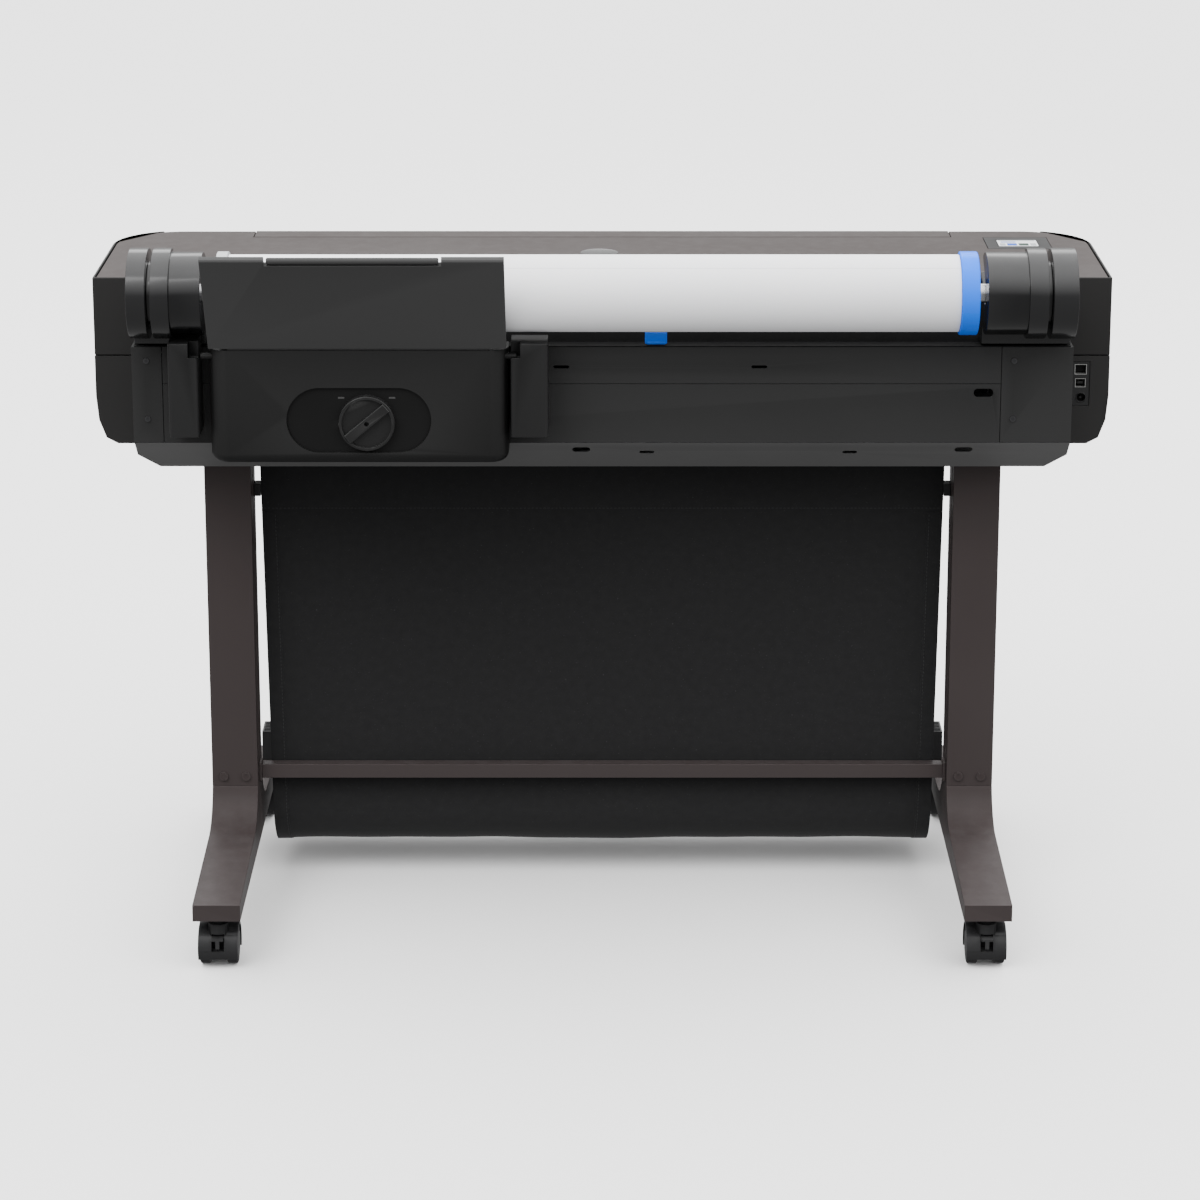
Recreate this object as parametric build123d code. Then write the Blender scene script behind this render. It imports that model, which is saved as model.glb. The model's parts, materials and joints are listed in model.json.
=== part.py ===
from build123d import *
import math
import os

# Desktop-width roll plotter on a wheeled stand, in millimetres.
# +Z is up, -Y is the side where rolls and sheets are loaded, +Y is the side where prints come out.
# The origin is on the floor, under the middle of the machine.

# ---------------------------------------------------------------- driving sizes
BODY_HALF = 657.0          # half the width over the end covers
BODY_REAR = -60.0          # loading-side face of the end covers
BODY_FRONT = 240.0         # output-side face
BODY_TOP = 857.0           # top surface
BASE_Z = 616.0             # underside of the body, where the stand carries it
END_Z = 636.0              # underside of the end covers
SEAM_Z = 753.0             # seam between upper and lower end covers
END_X = 597.0              # inner edge of the end covers
CORNER_R = 90.0            # plan radius of the output-side corners
WALL = 3.0                 # moulded wall thickness
PANEL_Y = -160.0           # face of the loading-side panels
PANEL_TOP = 789.0
PANEL_SEAM = 741.0
PANEL_LOW = 664.0
PANEL_LEFT = -558.0        # panels end here and the rear covers begin
PANEL_RIGHT = 506.0
GAP = 0.4                  # shut line between neighbouring mouldings

LEG_X = 492.5              # centre of each stand leg
LEG_HALF = 30.5            # half the width of a leg
LEG_DEPTH = 30.0           # half the depth of a leg
LEG_SEAM = 152.0           # joint between leg and foot
FOOT_REACH = 302.5         # foot ends, either side of the middle
FOOT_LOW = 69.0
FOOT_END = 91.0            # top of the foot at its ends
BAR_Z = 166.0              # middle of the crossbar

STEM_Y = 280.0             # caster stems
TRAIL = 12.0               # caster trail
WHEEL_R = 25.0
HOOD_R = 28.5

ROLL_Y = -181.0            # spindle axis
ROLL_Z = 863.5
ROLL_R = 48.5
ROLL_LEFT = -468.0
ROLL_RIGHT = 447.0
CORE_R = 38.1
SPINDLE_R = 12.0
JOURNAL_R = 14.0
STOP_R = 52.5
DRUM_R = 57.0
LIFT_ANGLE = 35.0          # the spindle lifts out this far above level
GEAR_TEETH = 24
PINION_TEETH = 10
GEAR_MODULE = 2.0
PINION_ANGLE = -105.0      # where the pinion sits around the spindle axis
RUN = 0.05                 # running clearance on radius

FEED_LEFT = -494.0         # sheet feeder
FEED_RIGHT = -118.0
FEED_FACE = -214.0
FEED_BACK = -163.0
FEED_TOP = 797.0
FEED_LOW = 650.0
TRAY_LENGTH = 158.0
TRAY_THICK = 8.0
TRAY_RUN = 87.0            # how far the tray leans out
TRAY_RISE = 136.0          # how far it rises
KNOB_X = -296.0
KNOB_Z = 704.0
KNOB_R = 35.5
POSTS = ((-545.0, -507.0), (-115.0, -68.0))
PIN_Y = -200.0
PIN_Z = 787.0
PIN_R = 4.0
FEED_SLIDE = 23.0          # the feeder draws out and up at this angle above level

BIN_ROD_Y = 20.0           # catch bin
BIN_ROD_Z = 553.0
BIN_PIVOT_Y = 250.0
BIN_PIVOT_Z = 114.0
BIN_BAR_Y = 288.0
BIN_BAR_Z = 436.0
BIN_HALF = 440.0           # half the width of the cloth
BIN_FOLD_R = 60.0          # inside radius of the fold at the bottom
CLOTH = 2.4

BAY_FLOOR = 786.0          # roll bay
BAY_BEND = -120.0
BAY_BACK = -64.0

RAIL_Y = (0.0, 28.0)       # beam that guides the carriage
RAIL_Z = (800.0, 825.0)
FRAME_X = 585.0            # side frames
ROLLER_Y = -5.0
FEED_ROLLER_R = 12.0
FEED_ROLLER_Z = 738.0
PINCH_R = 6.0
WINDOW_Y = 199.5           # hinge axis of the window
DOOR_Z = 651.5             # hinge axis of the cartridge door
SLOT_LOW = 689.0           # print slot
SLOT_HIGH = 723.0
PINCH_Z = FEED_ROLLER_Z + FEED_ROLLER_R + PINCH_R + 0.3
PULLEY_X = 565.0
PULLEY_Y = 14.0
PULLEY_R = 7.5
BELT_Z = (842.0, 848.0)
CARRIAGE_X = 520.0         # parked at the right-hand end


# ---------------------------------------------------------------- small helpers
def block(x0, x1, y0, y1, z0, z1):
    """Rectangular block between two corners."""
    size = Box(x1 - x0, y1 - y0, z1 - z0)
    return Pos((x0 + x1) / 2, (y0 + y1) / 2, (z0 + z1) / 2) * size


def rod_x(radius, x0, x1, y, z):
    """Round bar along X."""
    return Pos((x0 + x1) / 2, y, z) * Rot(0, 90, 0) * Cylinder(radius, x1 - x0)


def rod_y(radius, x, y0, y1, z):
    """Round bar along Y."""
    return Pos(x, (y0 + y1) / 2, z) * Rot(90, 0, 0) * Cylinder(radius, y1 - y0)


def rod_z(radius, x, y, z0, z1):
    """Round bar along Z."""
    return Pos(x, y, (z0 + z1) / 2) * Cylinder(radius, z1 - z0)


def prism_x(outline, x0, x1):
    """Outline in (y, z), drawn out along X."""
    face = make_face(Polyline(*outline, close=True))
    return extrude(Plane.YZ.offset(x0) * face, amount=x1 - x0)


def prism_y(outline, y0, y1):
    """Outline in (x, z), drawn out along Y."""
    face = make_face(Polyline(*outline, close=True))
    return extrude(Plane.XZ.offset(-y1) * face, amount=y1 - y0)


def slab_xz(width, height, radius, x, z, y0, y1):
    """Round-cornered plate that faces Y."""
    face = RectangleRounded(width, height, radius)
    return extrude(Plane.XZ.offset(-y1) * Pos(x, z) * face, amount=y1 - y0)


def gear(teeth, module, length):
    """Straight-cut gear along Z with simple trapezoid teeth."""
    pitch = teeth * module / 2
    tip = pitch + 0.85 * module
    root = pitch - 1.15 * module
    step = 2 * math.pi / teeth
    points = []
    for tooth in range(teeth):
        middle = tooth * step
        for radius, share in ((root, -0.30), (tip, -0.11), (tip, 0.11), (root, 0.30)):
            angle = middle + share * step
            points.append((radius * math.cos(angle), radius * math.sin(angle)))
    face = make_face(Polyline(*points, close=True))
    return extrude(face, amount=length)


def save(name, *solids):
    """Write one piece, or a group of like pieces, to its own file."""
    shape = solids[0] if len(solids) == 1 else Compound(children=list(solids))
    shape.label = name
    export_step(shape, "parts/" + name + ".step")


def mirror_x(shape):
    return mirror(shape, about=Plane.YZ)


# ---------------------------------------------------------------- stand
def foot(side):
    """Splayed foot with a stub that the leg slides over."""
    lean = 60.0
    half = [
        (-FOOT_REACH, FOOT_LOW),
        (-FOOT_REACH, FOOT_END),
        (-LEG_DEPTH - lean, 104.0),
    ]
    edges = Polyline(*half)
    top_left = (-LEG_DEPTH, LEG_SEAM)
    curve_left = TangentArc(half[-1], top_left, tangent=(lean * 3.5, 13.0))
    cap = Line(top_left, (LEG_DEPTH, LEG_SEAM))
    curve_right = mirror(curve_left, about=Plane.YZ)
    edges_right = mirror(edges, about=Plane.YZ)
    low = Polyline((-FOOT_REACH, FOOT_LOW), (FOOT_REACH, FOOT_LOW))
    face = make_face([*edges.edges(), curve_left, cap, curve_right, *edges_right.edges(), *low.edges()])
    x0 = side * LEG_X - LEG_HALF
    body = extrude(Plane.YZ.offset(x0) * face, amount=2 * LEG_HALF)
    stub = block(x0 + 4, x0 + 2 * LEG_HALF - 4, -LEG_DEPTH + 4, LEG_DEPTH - 4, LEG_SEAM - 5, LEG_SEAM + 50)
    body = body + stub - block(x0 + 4, x0 + 2 * LEG_HALF - 4, -225, 225, FOOT_LOW - 5, FOOT_LOW + 18)
    for end in (-1, 1):
        body = body - rod_z(5 + RUN, side * LEG_X, end * STEM_Y, FOOT_LOW - 1, FOOT_LOW + 16)
    return body


def upright(side):
    """Rectangular steel tube with a shallow groove down its inner side."""
    x0 = side * LEG_X - LEG_HALF
    x1 = x0 + 2 * LEG_HALF
    tube = block(x0, x1, -LEG_DEPTH, LEG_DEPTH, LEG_SEAM, BASE_Z)
    hollow = block(x0 + WALL, x1 - WALL, -LEG_DEPTH + WALL, LEG_DEPTH - WALL, LEG_SEAM - 1, BASE_Z - 4)
    inner = x1 if side < 0 else x0
    groove = block(inner - 1.5, inner + 1.5, -9, -1, LEG_SEAM + 40, BASE_Z + 1)
    return tube - hollow - groove


def crossbar():
    """Bar between the legs, with a folded bracket at each end."""
    inner = LEG_X - LEG_HALF
    bar = block(-inner + 4, inner - 4, -11, 6, BAR_Z - 9.7, BAR_Z + 9.7)
    bar = bar - block(-inner, inner, -8.5, 3.5, BAR_Z - 7.2, BAR_Z + 7.2)
    parts = [bar]
    for side in (-1, 1):
        x0, x1 = sorted((side * (inner - 4), side * inner))
        parts.append(block(x0, x1, -14, 9, BAR_Z - 13, BAR_Z + 13))
    return parts


def bin_brackets():
    """Socket on each foot that the front bin frame pivots in."""
    parts = []
    for side in (-1, 1):
        x0, x1 = sorted((side * (LEG_X - LEG_HALF - 6), side * (LEG_X - LEG_HALF + 18)))
        base = block(x0, x1, BIN_PIVOT_Y - 22, BIN_PIVOT_Y + 22, FOOT_END + 5, 138)
        under = prism_x([(190, 60), (190, 96.4), (310, 91.0), (310, 60)], x0 - 1, x1 + 1)
        base = base - under
        base = base - rod_x(4 + RUN, x0 - 1, x1 + 1, BIN_PIVOT_Y, BIN_PIVOT_Z)
        parts.append(base)
    return parts


def bin_rear_rod():
    """Rod that carries the loading-side edge of the bin cloth, held in two clips."""
    inner = LEG_X - LEG_HALF
    parts = [rod_x(6, -inner + 9, inner - 9, BIN_ROD_Y, BIN_ROD_Z)]
    for side in (-1, 1):
        x0, x1 = sorted((side * (inner - 9), side * inner))
        parts.append(block(x0, x1, BIN_ROD_Y - 10, BIN_ROD_Y + 9, BIN_ROD_Z - 8.5, BIN_ROD_Z + 8.5))
    return parts


def bin_front_frame():
    """U-shaped tube that holds the bin open; its lower ends pivot in the foot brackets."""
    pivot = (BIN_PIVOT_Y, BIN_PIVOT_Z)
    top = (BIN_BAR_Y, BIN_BAR_Z)
    length = math.dist(pivot, top)
    lean = math.degrees(math.atan2(top[0] - pivot[0], top[1] - pivot[1]))
    x = LEG_X - LEG_HALF - 12
    frame = rod_x(6, -x, x, *top)
    for side in (-1, 1):
        leg = Pos(side * x, pivot[0], pivot[1]) * Rot(-lean, 0, 0) * Pos(0, 0, length / 2) * Cylinder(6, length)
        ball = Pos(side * x, *top) * Sphere(6)
        end = Pos(side * x, *pivot) * Sphere(6)
        x0, x1 = sorted((side * x, side * (x + 28)))
        frame = frame + leg + ball + end + rod_x(4, x0, x1, *pivot)
    return frame


def bin_cloth_back():
    """Back and floor of the catch bin: hangs from the rear rod and folds forward near the ground."""
    y0 = BIN_ROD_Y - 6 - 0.5 - CLOTH
    y1 = y0 + CLOTH
    bottom = 105.0
    centre_y = y1 + BIN_FOLD_R
    low_out = bottom - BIN_FOLD_R - CLOTH
    outer = [Line((y0, BASE_Z - 10), (y0, bottom)),
             TangentArc((y0, bottom), (centre_y, low_out), tangent=(0, -1)),
             Line((centre_y, low_out), (222, low_out + 14)),
             Line((222, low_out + 14), (222, low_out + 14 + CLOTH)),
             Line((222, low_out + 14 + CLOTH), (centre_y, low_out + CLOTH)),
             TangentArc((y1, bottom), (centre_y, low_out + CLOTH), tangent=(0, -1)),
             Line((y1, bottom), (y1, BASE_Z - 10)),
             Line((y1, BASE_Z - 10), (y0, BASE_Z - 10))]
    face = make_face(outer)
    return extrude(Plane.YZ.offset(-BIN_HALF) * face, amount=2 * BIN_HALF)


def bin_cloth_front():
    """Front of the catch bin: hangs from the front frame."""
    outline = [(232, 66), (232 + CLOTH, 66), (283 + CLOTH, BIN_BAR_Z - 8), (283, BIN_BAR_Z - 8)]
    return prism_x(outline, -BIN_HALF, BIN_HALF)


# ---------------------------------------------------------------- casters
def caster(x, end, braked):
    """Swivelling hood with stem and axle, twin wheels, and on two of them a brake pedal."""
    axle_y = end * (STEM_Y - TRAIL)
    hood = rod_x(HOOD_R, x - 25.5, x + 25.5, axle_y, WHEEL_R)
    for side in (-1, 1):
        x0, x1 = sorted((x + side * 10, x + side * 30))
        hood = hood - rod_x(WHEEL_R + 1, x0, x1, axle_y, WHEEL_R)
    hood = hood - block(x - 30, x + 30, axle_y - 40, axle_y + 40, -10, 13)
    hood = hood + rod_z(13, x, end * STEM_Y, 44, 60)
    for side in (-1, 1):
        x0, x1 = sorted((x + side * 10, x + side * 30))
        hood = hood - rod_x(WHEEL_R + 1, x0, x1, axle_y, WHEEL_R)
    hood = hood + rod_z(9, x, end * STEM_Y, 55, FOOT_LOW - 0.5) + rod_z(5, x, end * STEM_Y, 60, FOOT_LOW + 14)
    hood = hood + rod_x(3, x - 24, x + 24, axle_y, WHEEL_R)
    wheels = []
    for side in (-1, 1):
        x0, x1 = sorted((x + side * 11, x + side * 24))
        wheel = fillet(rod_x(WHEEL_R, x0, x1, axle_y, WHEEL_R).edges(), 2.0)
        wheels.append(wheel - rod_x(3 + RUN, x0 - 1, x1 + 1, axle_y, WHEEL_R))
    pedal = None
    if braked:
        pin_y = axle_y + end * 16
        y_in, y_out = pin_y - end * 4, pin_y + end * 16
        ya, yb = sorted((y_in, y_out + end * 8))
        hood = hood - block(x - 8, x + 8, ya, yb, 25, 47)
        hood = hood - rod_x(1.5 + RUN, x - 9.5, x + 9.5, pin_y, 42)
        y2, y3 = sorted((pin_y - end * 2, y_out))
        pedal = block(x - 7.5, x + 7.5, y2, y3, 40.5, 43.5)
        y4, y5 = sorted((y_out - end * 3, y_out))
        pedal = pedal + block(x - 2.5, x + 2.5, y4, y5, 30, 41) + rod_x(1.5, x - 9.3, x + 9.3, pin_y, 42)
    return hood, wheels, pedal


# ---------------------------------------------------------------- body shell
def plan(offset, z0, z1, rear=BODY_REAR):
    """Plan outline of the body, pulled in by offset, drawn up from z0 to z1."""
    depth = BODY_FRONT - offset - rear
    outline = Pos(0, rear + depth / 2) * Rectangle(2 * (BODY_HALF - offset), depth)
    corners = outline.vertices().group_by(Axis.Y)[-1]
    return Pos(0, 0, z0) * extrude(fillet(corners, CORNER_R - offset), amount=z1 - z0)


def end_upper():
    """Upper right end cover: open shell with walls on three sides."""
    low = SEAM_Z + 1.2
    shell = plan(0, low, BODY_TOP) - plan(WALL, low - 1, BODY_TOP + 1, BODY_REAR + WALL)
    return shell & block(END_X, BODY_HALF + 1, BODY_REAR - 1, BODY_FRONT + 1, low, BODY_TOP)


def end_lower(ports):
    """Lower right end cover, with the outer bottom edge cut back."""
    top = SEAM_Z
    solid = plan(0, END_Z, top) & block(END_X, BODY_HALF + 1, BODY_REAR - 1, BODY_FRONT + 1, END_Z, top)
    hollow = plan(WALL, END_Z - 1, top + 1, BODY_REAR + WALL)
    outline = [(END_X, END_Z), (630, END_Z), (645, 644), (654, 668),
               (BODY_HALF, 700), (BODY_HALF, top), (END_X, top)]
    inside = [(END_X - 1, END_Z + WALL), (629, END_Z + WALL), (643, 646), (651, 669),
              (BODY_HALF - WALL, 701), (BODY_HALF - WALL, top + 1), (END_X - 1, top + 1)]
    solid = solid & prism_y(outline, BODY_REAR - 1, BODY_FRONT + 1)
    hollow = hollow & prism_y(inside, BODY_REAR - 1, BODY_FRONT + 1)
    cover = solid - hollow
    if ports:
        cover = cover - block(608, 632, BODY_REAR - 1, BODY_REAR + 8, 686, 746)
        cover = cover - block(END_X - 1, 607, BODY_REAR - 1, BODY_REAR + 8, 645, 672)
    return cover


def base_tray():
    """Chassis tray: floor, sloping loading-side skirt and a low wall on the output side."""
    outline = [(PANEL_Y, PANEL_LOW - 0.5), (-100, BASE_Z), (232, BASE_Z), (232, END_Z), (229, END_Z),
               (229, BASE_Z + 4), (-98, BASE_Z + 4), (PANEL_Y + 4, PANEL_LOW - 0.5)]
    half = END_X - 1
    tray = prism_x(outline, -half, half)
    trim = [(-half, 690), (-half, 640), (-half + 26, BASE_Z - 1),
            (half - 26, BASE_Z - 1), (half, 640), (half, 690)]
    tray = tray & prism_y(trim, -170, 240)
    for x, width, height, z in ((-27, 23, 9, 650), (462, 23, 9, 650), (57, 19, 5, 645), (317, 19, 5, 645)):
        tray = tray - slab_xz(width, height, height / 2 - 0.1, x, z, -170, -115)
    return tray


def rear_panel():
    """Lower loading-side panel with one oblong hole near its right-hand end."""
    panel = block(PANEL_LEFT + GAP, PANEL_RIGHT - GAP, PANEL_Y, PANEL_Y + WALL, PANEL_LOW, PANEL_SEAM - GAP)
    return panel - slab_xz(25, 11, 5.4, 484, 729, PANEL_Y - 1, PANEL_Y + 5)


def rear_strip():
    """Upper loading-side strip with a lip that turns in under the roll."""
    strip = block(PANEL_LEFT + GAP, PANEL_RIGHT - GAP, PANEL_Y, PANEL_Y + WALL, PANEL_SEAM + GAP, PANEL_TOP)
    for x in (-52, 199):
        strip = strip - slab_xz(20, 4, 1.9, x, 763, PANEL_Y - 1, PANEL_Y + 5)
    return strip


def rear_cover(side):
    """Cover between the panels and the end of the machine."""
    if side < 0:
        x0, x1 = -END_X + GAP, PANEL_LEFT - GAP
    else:
        x0, x1 = PANEL_RIGHT + GAP, END_X - GAP
    skin = block(x0, x1, PANEL_Y, PANEL_Y + WALL, PANEL_LOW, PANEL_TOP)
    xa, xb = (x0, x0 + WALL) if side < 0 else (x1 - WALL, x1)
    cover = skin + block(xa, xb, PANEL_Y, BODY_REAR - GAP, PANEL_LOW, PANEL_TOP)
    hole_x = side * (522 if side > 0 else 578)
    for z in (695, 771):
        cover = cover - rod_y(2.1, hole_x, PANEL_Y - 1, PANEL_Y + 5, z)
    return cover


def top_cover():
    """Large flat top panel, set inside the rims of the end covers."""
    panel = plan(5.0, BODY_TOP - 3.4, BODY_TOP - 0.4, BODY_REAR - 2)
    edge = block(-END_X + 3, END_X - 3, BODY_REAR - 4, BODY_REAR + 2, BODY_TOP - 8, BODY_TOP - 0.4)
    cover = panel + edge
    for side in (-1, 1):
        x0, x1 = sorted((side * (END_X - GAP), side * BODY_HALF))
        cover = cover - block(x0, x1, BODY_REAR - 10, BODY_REAR + 4, BODY_TOP - 20, BODY_TOP)
    cover = cover - block(515, 601, 120.5, 194.5, BODY_TOP - 10, BODY_TOP + 1)
    return cover - block(-472.6, 472.6, 196, BODY_FRONT + 1, BODY_TOP - 10, BODY_TOP + 1)


def front_fascia():
    """Output-side face in four mouldings, round the print slot, the window and the cartridge bay."""
    half = END_X - GAP
    top = BODY_TOP - 4
    y0, y1 = BODY_FRONT - 60, BODY_FRONT + 1
    ring = plan(0, END_Z, top) - plan(WALL, END_Z - 1, top + 1, BODY_REAR - 10)
    face = ring & block(-half, half, y0, y1, END_Z, top)
    face = face - block(-473, 473, y0 - 10, y1, SLOT_HIGH + 19.5, top + 1)
    face = face - slab_xz(934, SLOT_HIGH - SLOT_LOW, 8, 0, (SLOT_LOW + SLOT_HIGH) / 2, y0 - 10, y1)
    face = face - block(477.4, 562.6, y0 - 10, y1, 649.4, 735.6)
    face = face - rod_y(7.5, 535, BODY_FRONT - 9, y1, 790)
    low = face & block(-half, half, y0, y1, END_Z, SLOT_LOW)
    bar = face & block(-459, 459, y0, y1, SLOT_HIGH, SLOT_HIGH + 19.5)
    left = face & block(-half, -459 - GAP, y0, y1, SLOT_LOW + GAP, top)
    right = face & block(459 + GAP, half, y0, y1, SLOT_LOW + GAP, top)
    return low, bar, left, right


def front_window():
    """Smoked window over the print zone; it turns up about the rounded edge that lies in the top."""
    high = BODY_TOP - 0.4
    outline = [(WINDOW_Y, high - 3), (236, high - 3), (236.8, BODY_TOP - 5), (236.8, 743), (240, 743),
               (240, BODY_TOP - 6), (238, high), (WINDOW_Y, high)]
    return prism_x(outline, -472, 472) + rod_x(1.5, -472, 472, WINDOW_Y, high - 1.5)


def cartridge_door():
    """Door over the ink cartridges; it drops about its rounded lower edge."""
    half = WALL / 2
    door = slab_xz(84.4, 85.4, 3, 520, 692.5, BODY_FRONT - WALL, BODY_FRONT)
    door = door - block(470, 570, BODY_FRONT - WALL - 1, BODY_FRONT + 1, 640, DOOR_Z)
    return door + rod_x(half, 477.8, 562.2, BODY_FRONT - half, DOOR_Z)


def power_button():
    """Round push button in the output-side face."""
    button = rod_y(7.3, 535, BODY_FRONT - 3, BODY_FRONT + 1.5, 790)
    stem = rod_y(4, 535, BODY_FRONT - 6.5, BODY_FRONT - 2, 790)
    return button + stem + rod_y(9, 535, BODY_FRONT - 8, BODY_FRONT - 6, 790)


def control_panel():
    """Touch display: a bezel set flush in the top, with its glass."""
    bezel = block(515.4, 600.6, 121, 194, BODY_TOP - 7, BODY_TOP - 0.4)
    bezel = bezel - block(531, 585, 136, 175, BODY_TOP - 1.6, BODY_TOP + 1)
    return bezel, block(531.2, 584.8, 136.2, 174.8, BODY_TOP - 1.6, BODY_TOP - 0.4)


def roll_bay():
    """Black trough behind and under the roll: floor, sloping back wall and end walls."""
    outline = [(PANEL_Y + WALL + GAP, BAY_FLOOR - 2), (BAY_BEND, BAY_FLOOR - 2), (BAY_BACK - 3, BODY_TOP - 14),
               (BAY_BACK - 3, BODY_TOP - 8.6), (BAY_BACK - 5.5, BODY_TOP - 8.6), (BAY_BACK - 5.5, BODY_TOP - 13),
               (BAY_BEND - 1, BAY_FLOOR), (PANEL_Y, BAY_FLOOR + 4.6), (PANEL_Y, PANEL_TOP + GAP),
               (PANEL_Y + WALL + GAP, PANEL_TOP + GAP)]
    tray = prism_x(outline, -END_X + 3.6, END_X - 3.6)
    return tray


def drum_housing(side):
    """Bearing for one end of the spindle: a drum with a slot that opens up and toward the output side."""
    spans = ((500, 539, 52.0), (539, 562, DRUM_R), (568, 592, DRUM_R))
    if side > 0:
        spans = ((480, 531, 52.0), (531, 555, DRUM_R), (561, 592, DRUM_R))
    drum = None
    for near, far, radius in spans:
        piece = rod_x(radius, near, far, ROLL_Y, ROLL_Z)
        drum = piece if drum is None else drum + piece
    drum = drum + rod_x(40, spans[1][1] - 1, spans[2][0] + 1, ROLL_Y, ROLL_Z)
    saddle = [(PANEL_Y + 2, BAY_FLOOR + 6.5), (BAY_BEND - 2, BAY_FLOOR + 2.4), (BAY_BEND + 5, BAY_FLOOR + 9.2),
              (BAY_BEND - 14, BAY_FLOOR + 50), (PANEL_Y + 2, BAY_FLOOR + 50)]
    drum = drum + prism_x(saddle, spans[0][0], spans[2][1])
    near, step, deep = spans[0][0], spans[1][0], spans[1][1]
    slots = ((near - 1, step - 3, JOURNAL_R + RUN), (step - 3, deep - 3, 31.0))
    for x0, x1, radius in slots:
        reach = 120.0
        way = Rot(LIFT_ANGLE, 0, 0) * Pos(0, reach / 2, 0) * Box(x1 - x0, reach, 2 * radius)
        way = Pos((x0 + x1) / 2, ROLL_Y, ROLL_Z) * way
        drum = drum - rod_x(radius, x0, x1, ROLL_Y, ROLL_Z) - way
    if side > 0:
        y, z = pinion_place()
        drum = drum - rod_x(13.2, step - 3, deep - 3, y, z) - rod_x(3 + RUN, near + 12, step, y, z)
        return drum
    return mirror_x(drum)


def pinion_place():
    distance = (GEAR_TEETH + PINION_TEETH) * GEAR_MODULE / 2
    angle = math.radians(PINION_ANGLE)
    return ROLL_Y + distance * math.cos(angle), ROLL_Z + distance * math.sin(angle)


def feeder_posts():
    """Upright posts on the panels; the feeder's pins drop into their open mouths, behind a low lip."""
    posts = []
    room = PIN_R + 0.5
    out_y, out_z = math.cos(math.radians(FEED_SLIDE)), math.sin(math.radians(FEED_SLIDE))
    low_y, low_z = PIN_Y - room * out_z, PIN_Z - room * out_y
    lip = low_z + (low_y - FEED_FACE + 1) * out_z / out_y
    mouth = [(PIN_Y + room, PIN_Z), (PIN_Y + room, 810), (FEED_FACE - 1, 810), (FEED_FACE - 1, lip), (low_y, low_z)]
    for x0, x1 in POSTS:
        post = block(x0, x1, FEED_FACE + 2, PANEL_Y - 0.1, 684, 805)
        post = fillet(post.edges().filter_by(Axis.Z).group_by(Axis.Y)[0], 4)
        post = post - block(x0 + WALL, x1 - WALL, FEED_FACE + 6, PANEL_Y - 4, 690, 776)
        s0, s1 = (x1 - 12, x1 + 1) if x1 < FEED_LEFT else (x0 - 1, x0 + 12)
        post = post - prism_x(mouth, s0, s1) - rod_x(room, s0, s1, PIN_Y, PIN_Z)
        posts.append(post)
    return posts


def port_block():
    """Network socket, USB socket and round power inlet on one moulded block."""
    block_body = block(608.4, 631.6, BODY_REAR + 1, BODY_REAR + 14, 686.4, 745.6)
    block_body = block_body - block(612, 628, BODY_REAR, BODY_REAR + 12, 728, 742)
    block_body = block_body - block(613, 627, BODY_REAR, BODY_REAR + 12, 711, 723)
    block_body = block_body - rod_y(5.5, 621, BODY_REAR, BODY_REAR + 10, 697.5)
    tongue = block(616.5, 623.5, BODY_REAR + 4, BODY_REAR + 12, 715.5, 718.5)
    return block_body + tongue + rod_y(1.5, 621, BODY_REAR + 3, BODY_REAR + 11, 697.5)


def fasteners():
    """Cover screws and the domed bolts on the legs."""
    parts = []
    for x in (-578, 522):
        for z in (695, 771):
            head = rod_y(3.6, x, PANEL_Y - 1.2, PANEL_Y - 0.05, z)
            parts.append(head + rod_y(1.9, x, PANEL_Y - 0.5, PANEL_Y + 9, z))
    for side in (-1, 1):
        for offset in (-15, 15):
            head = rod_y(6, side * LEG_X + offset, -LEG_DEPTH - 2.2, -LEG_DEPTH - 0.05, 166)
            parts.append(fillet(head.edges().group_by(Axis.Y)[0], 1.6))
    return parts


def blue_latch():
    """Small lever under the roll that frees a cut edge."""
    return block(54, 82, PANEL_Y + 6, PANEL_Y + 9, 792, 806) + rod_x(3, 56, 80, PANEL_Y + 7.5, 793.4)


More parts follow.
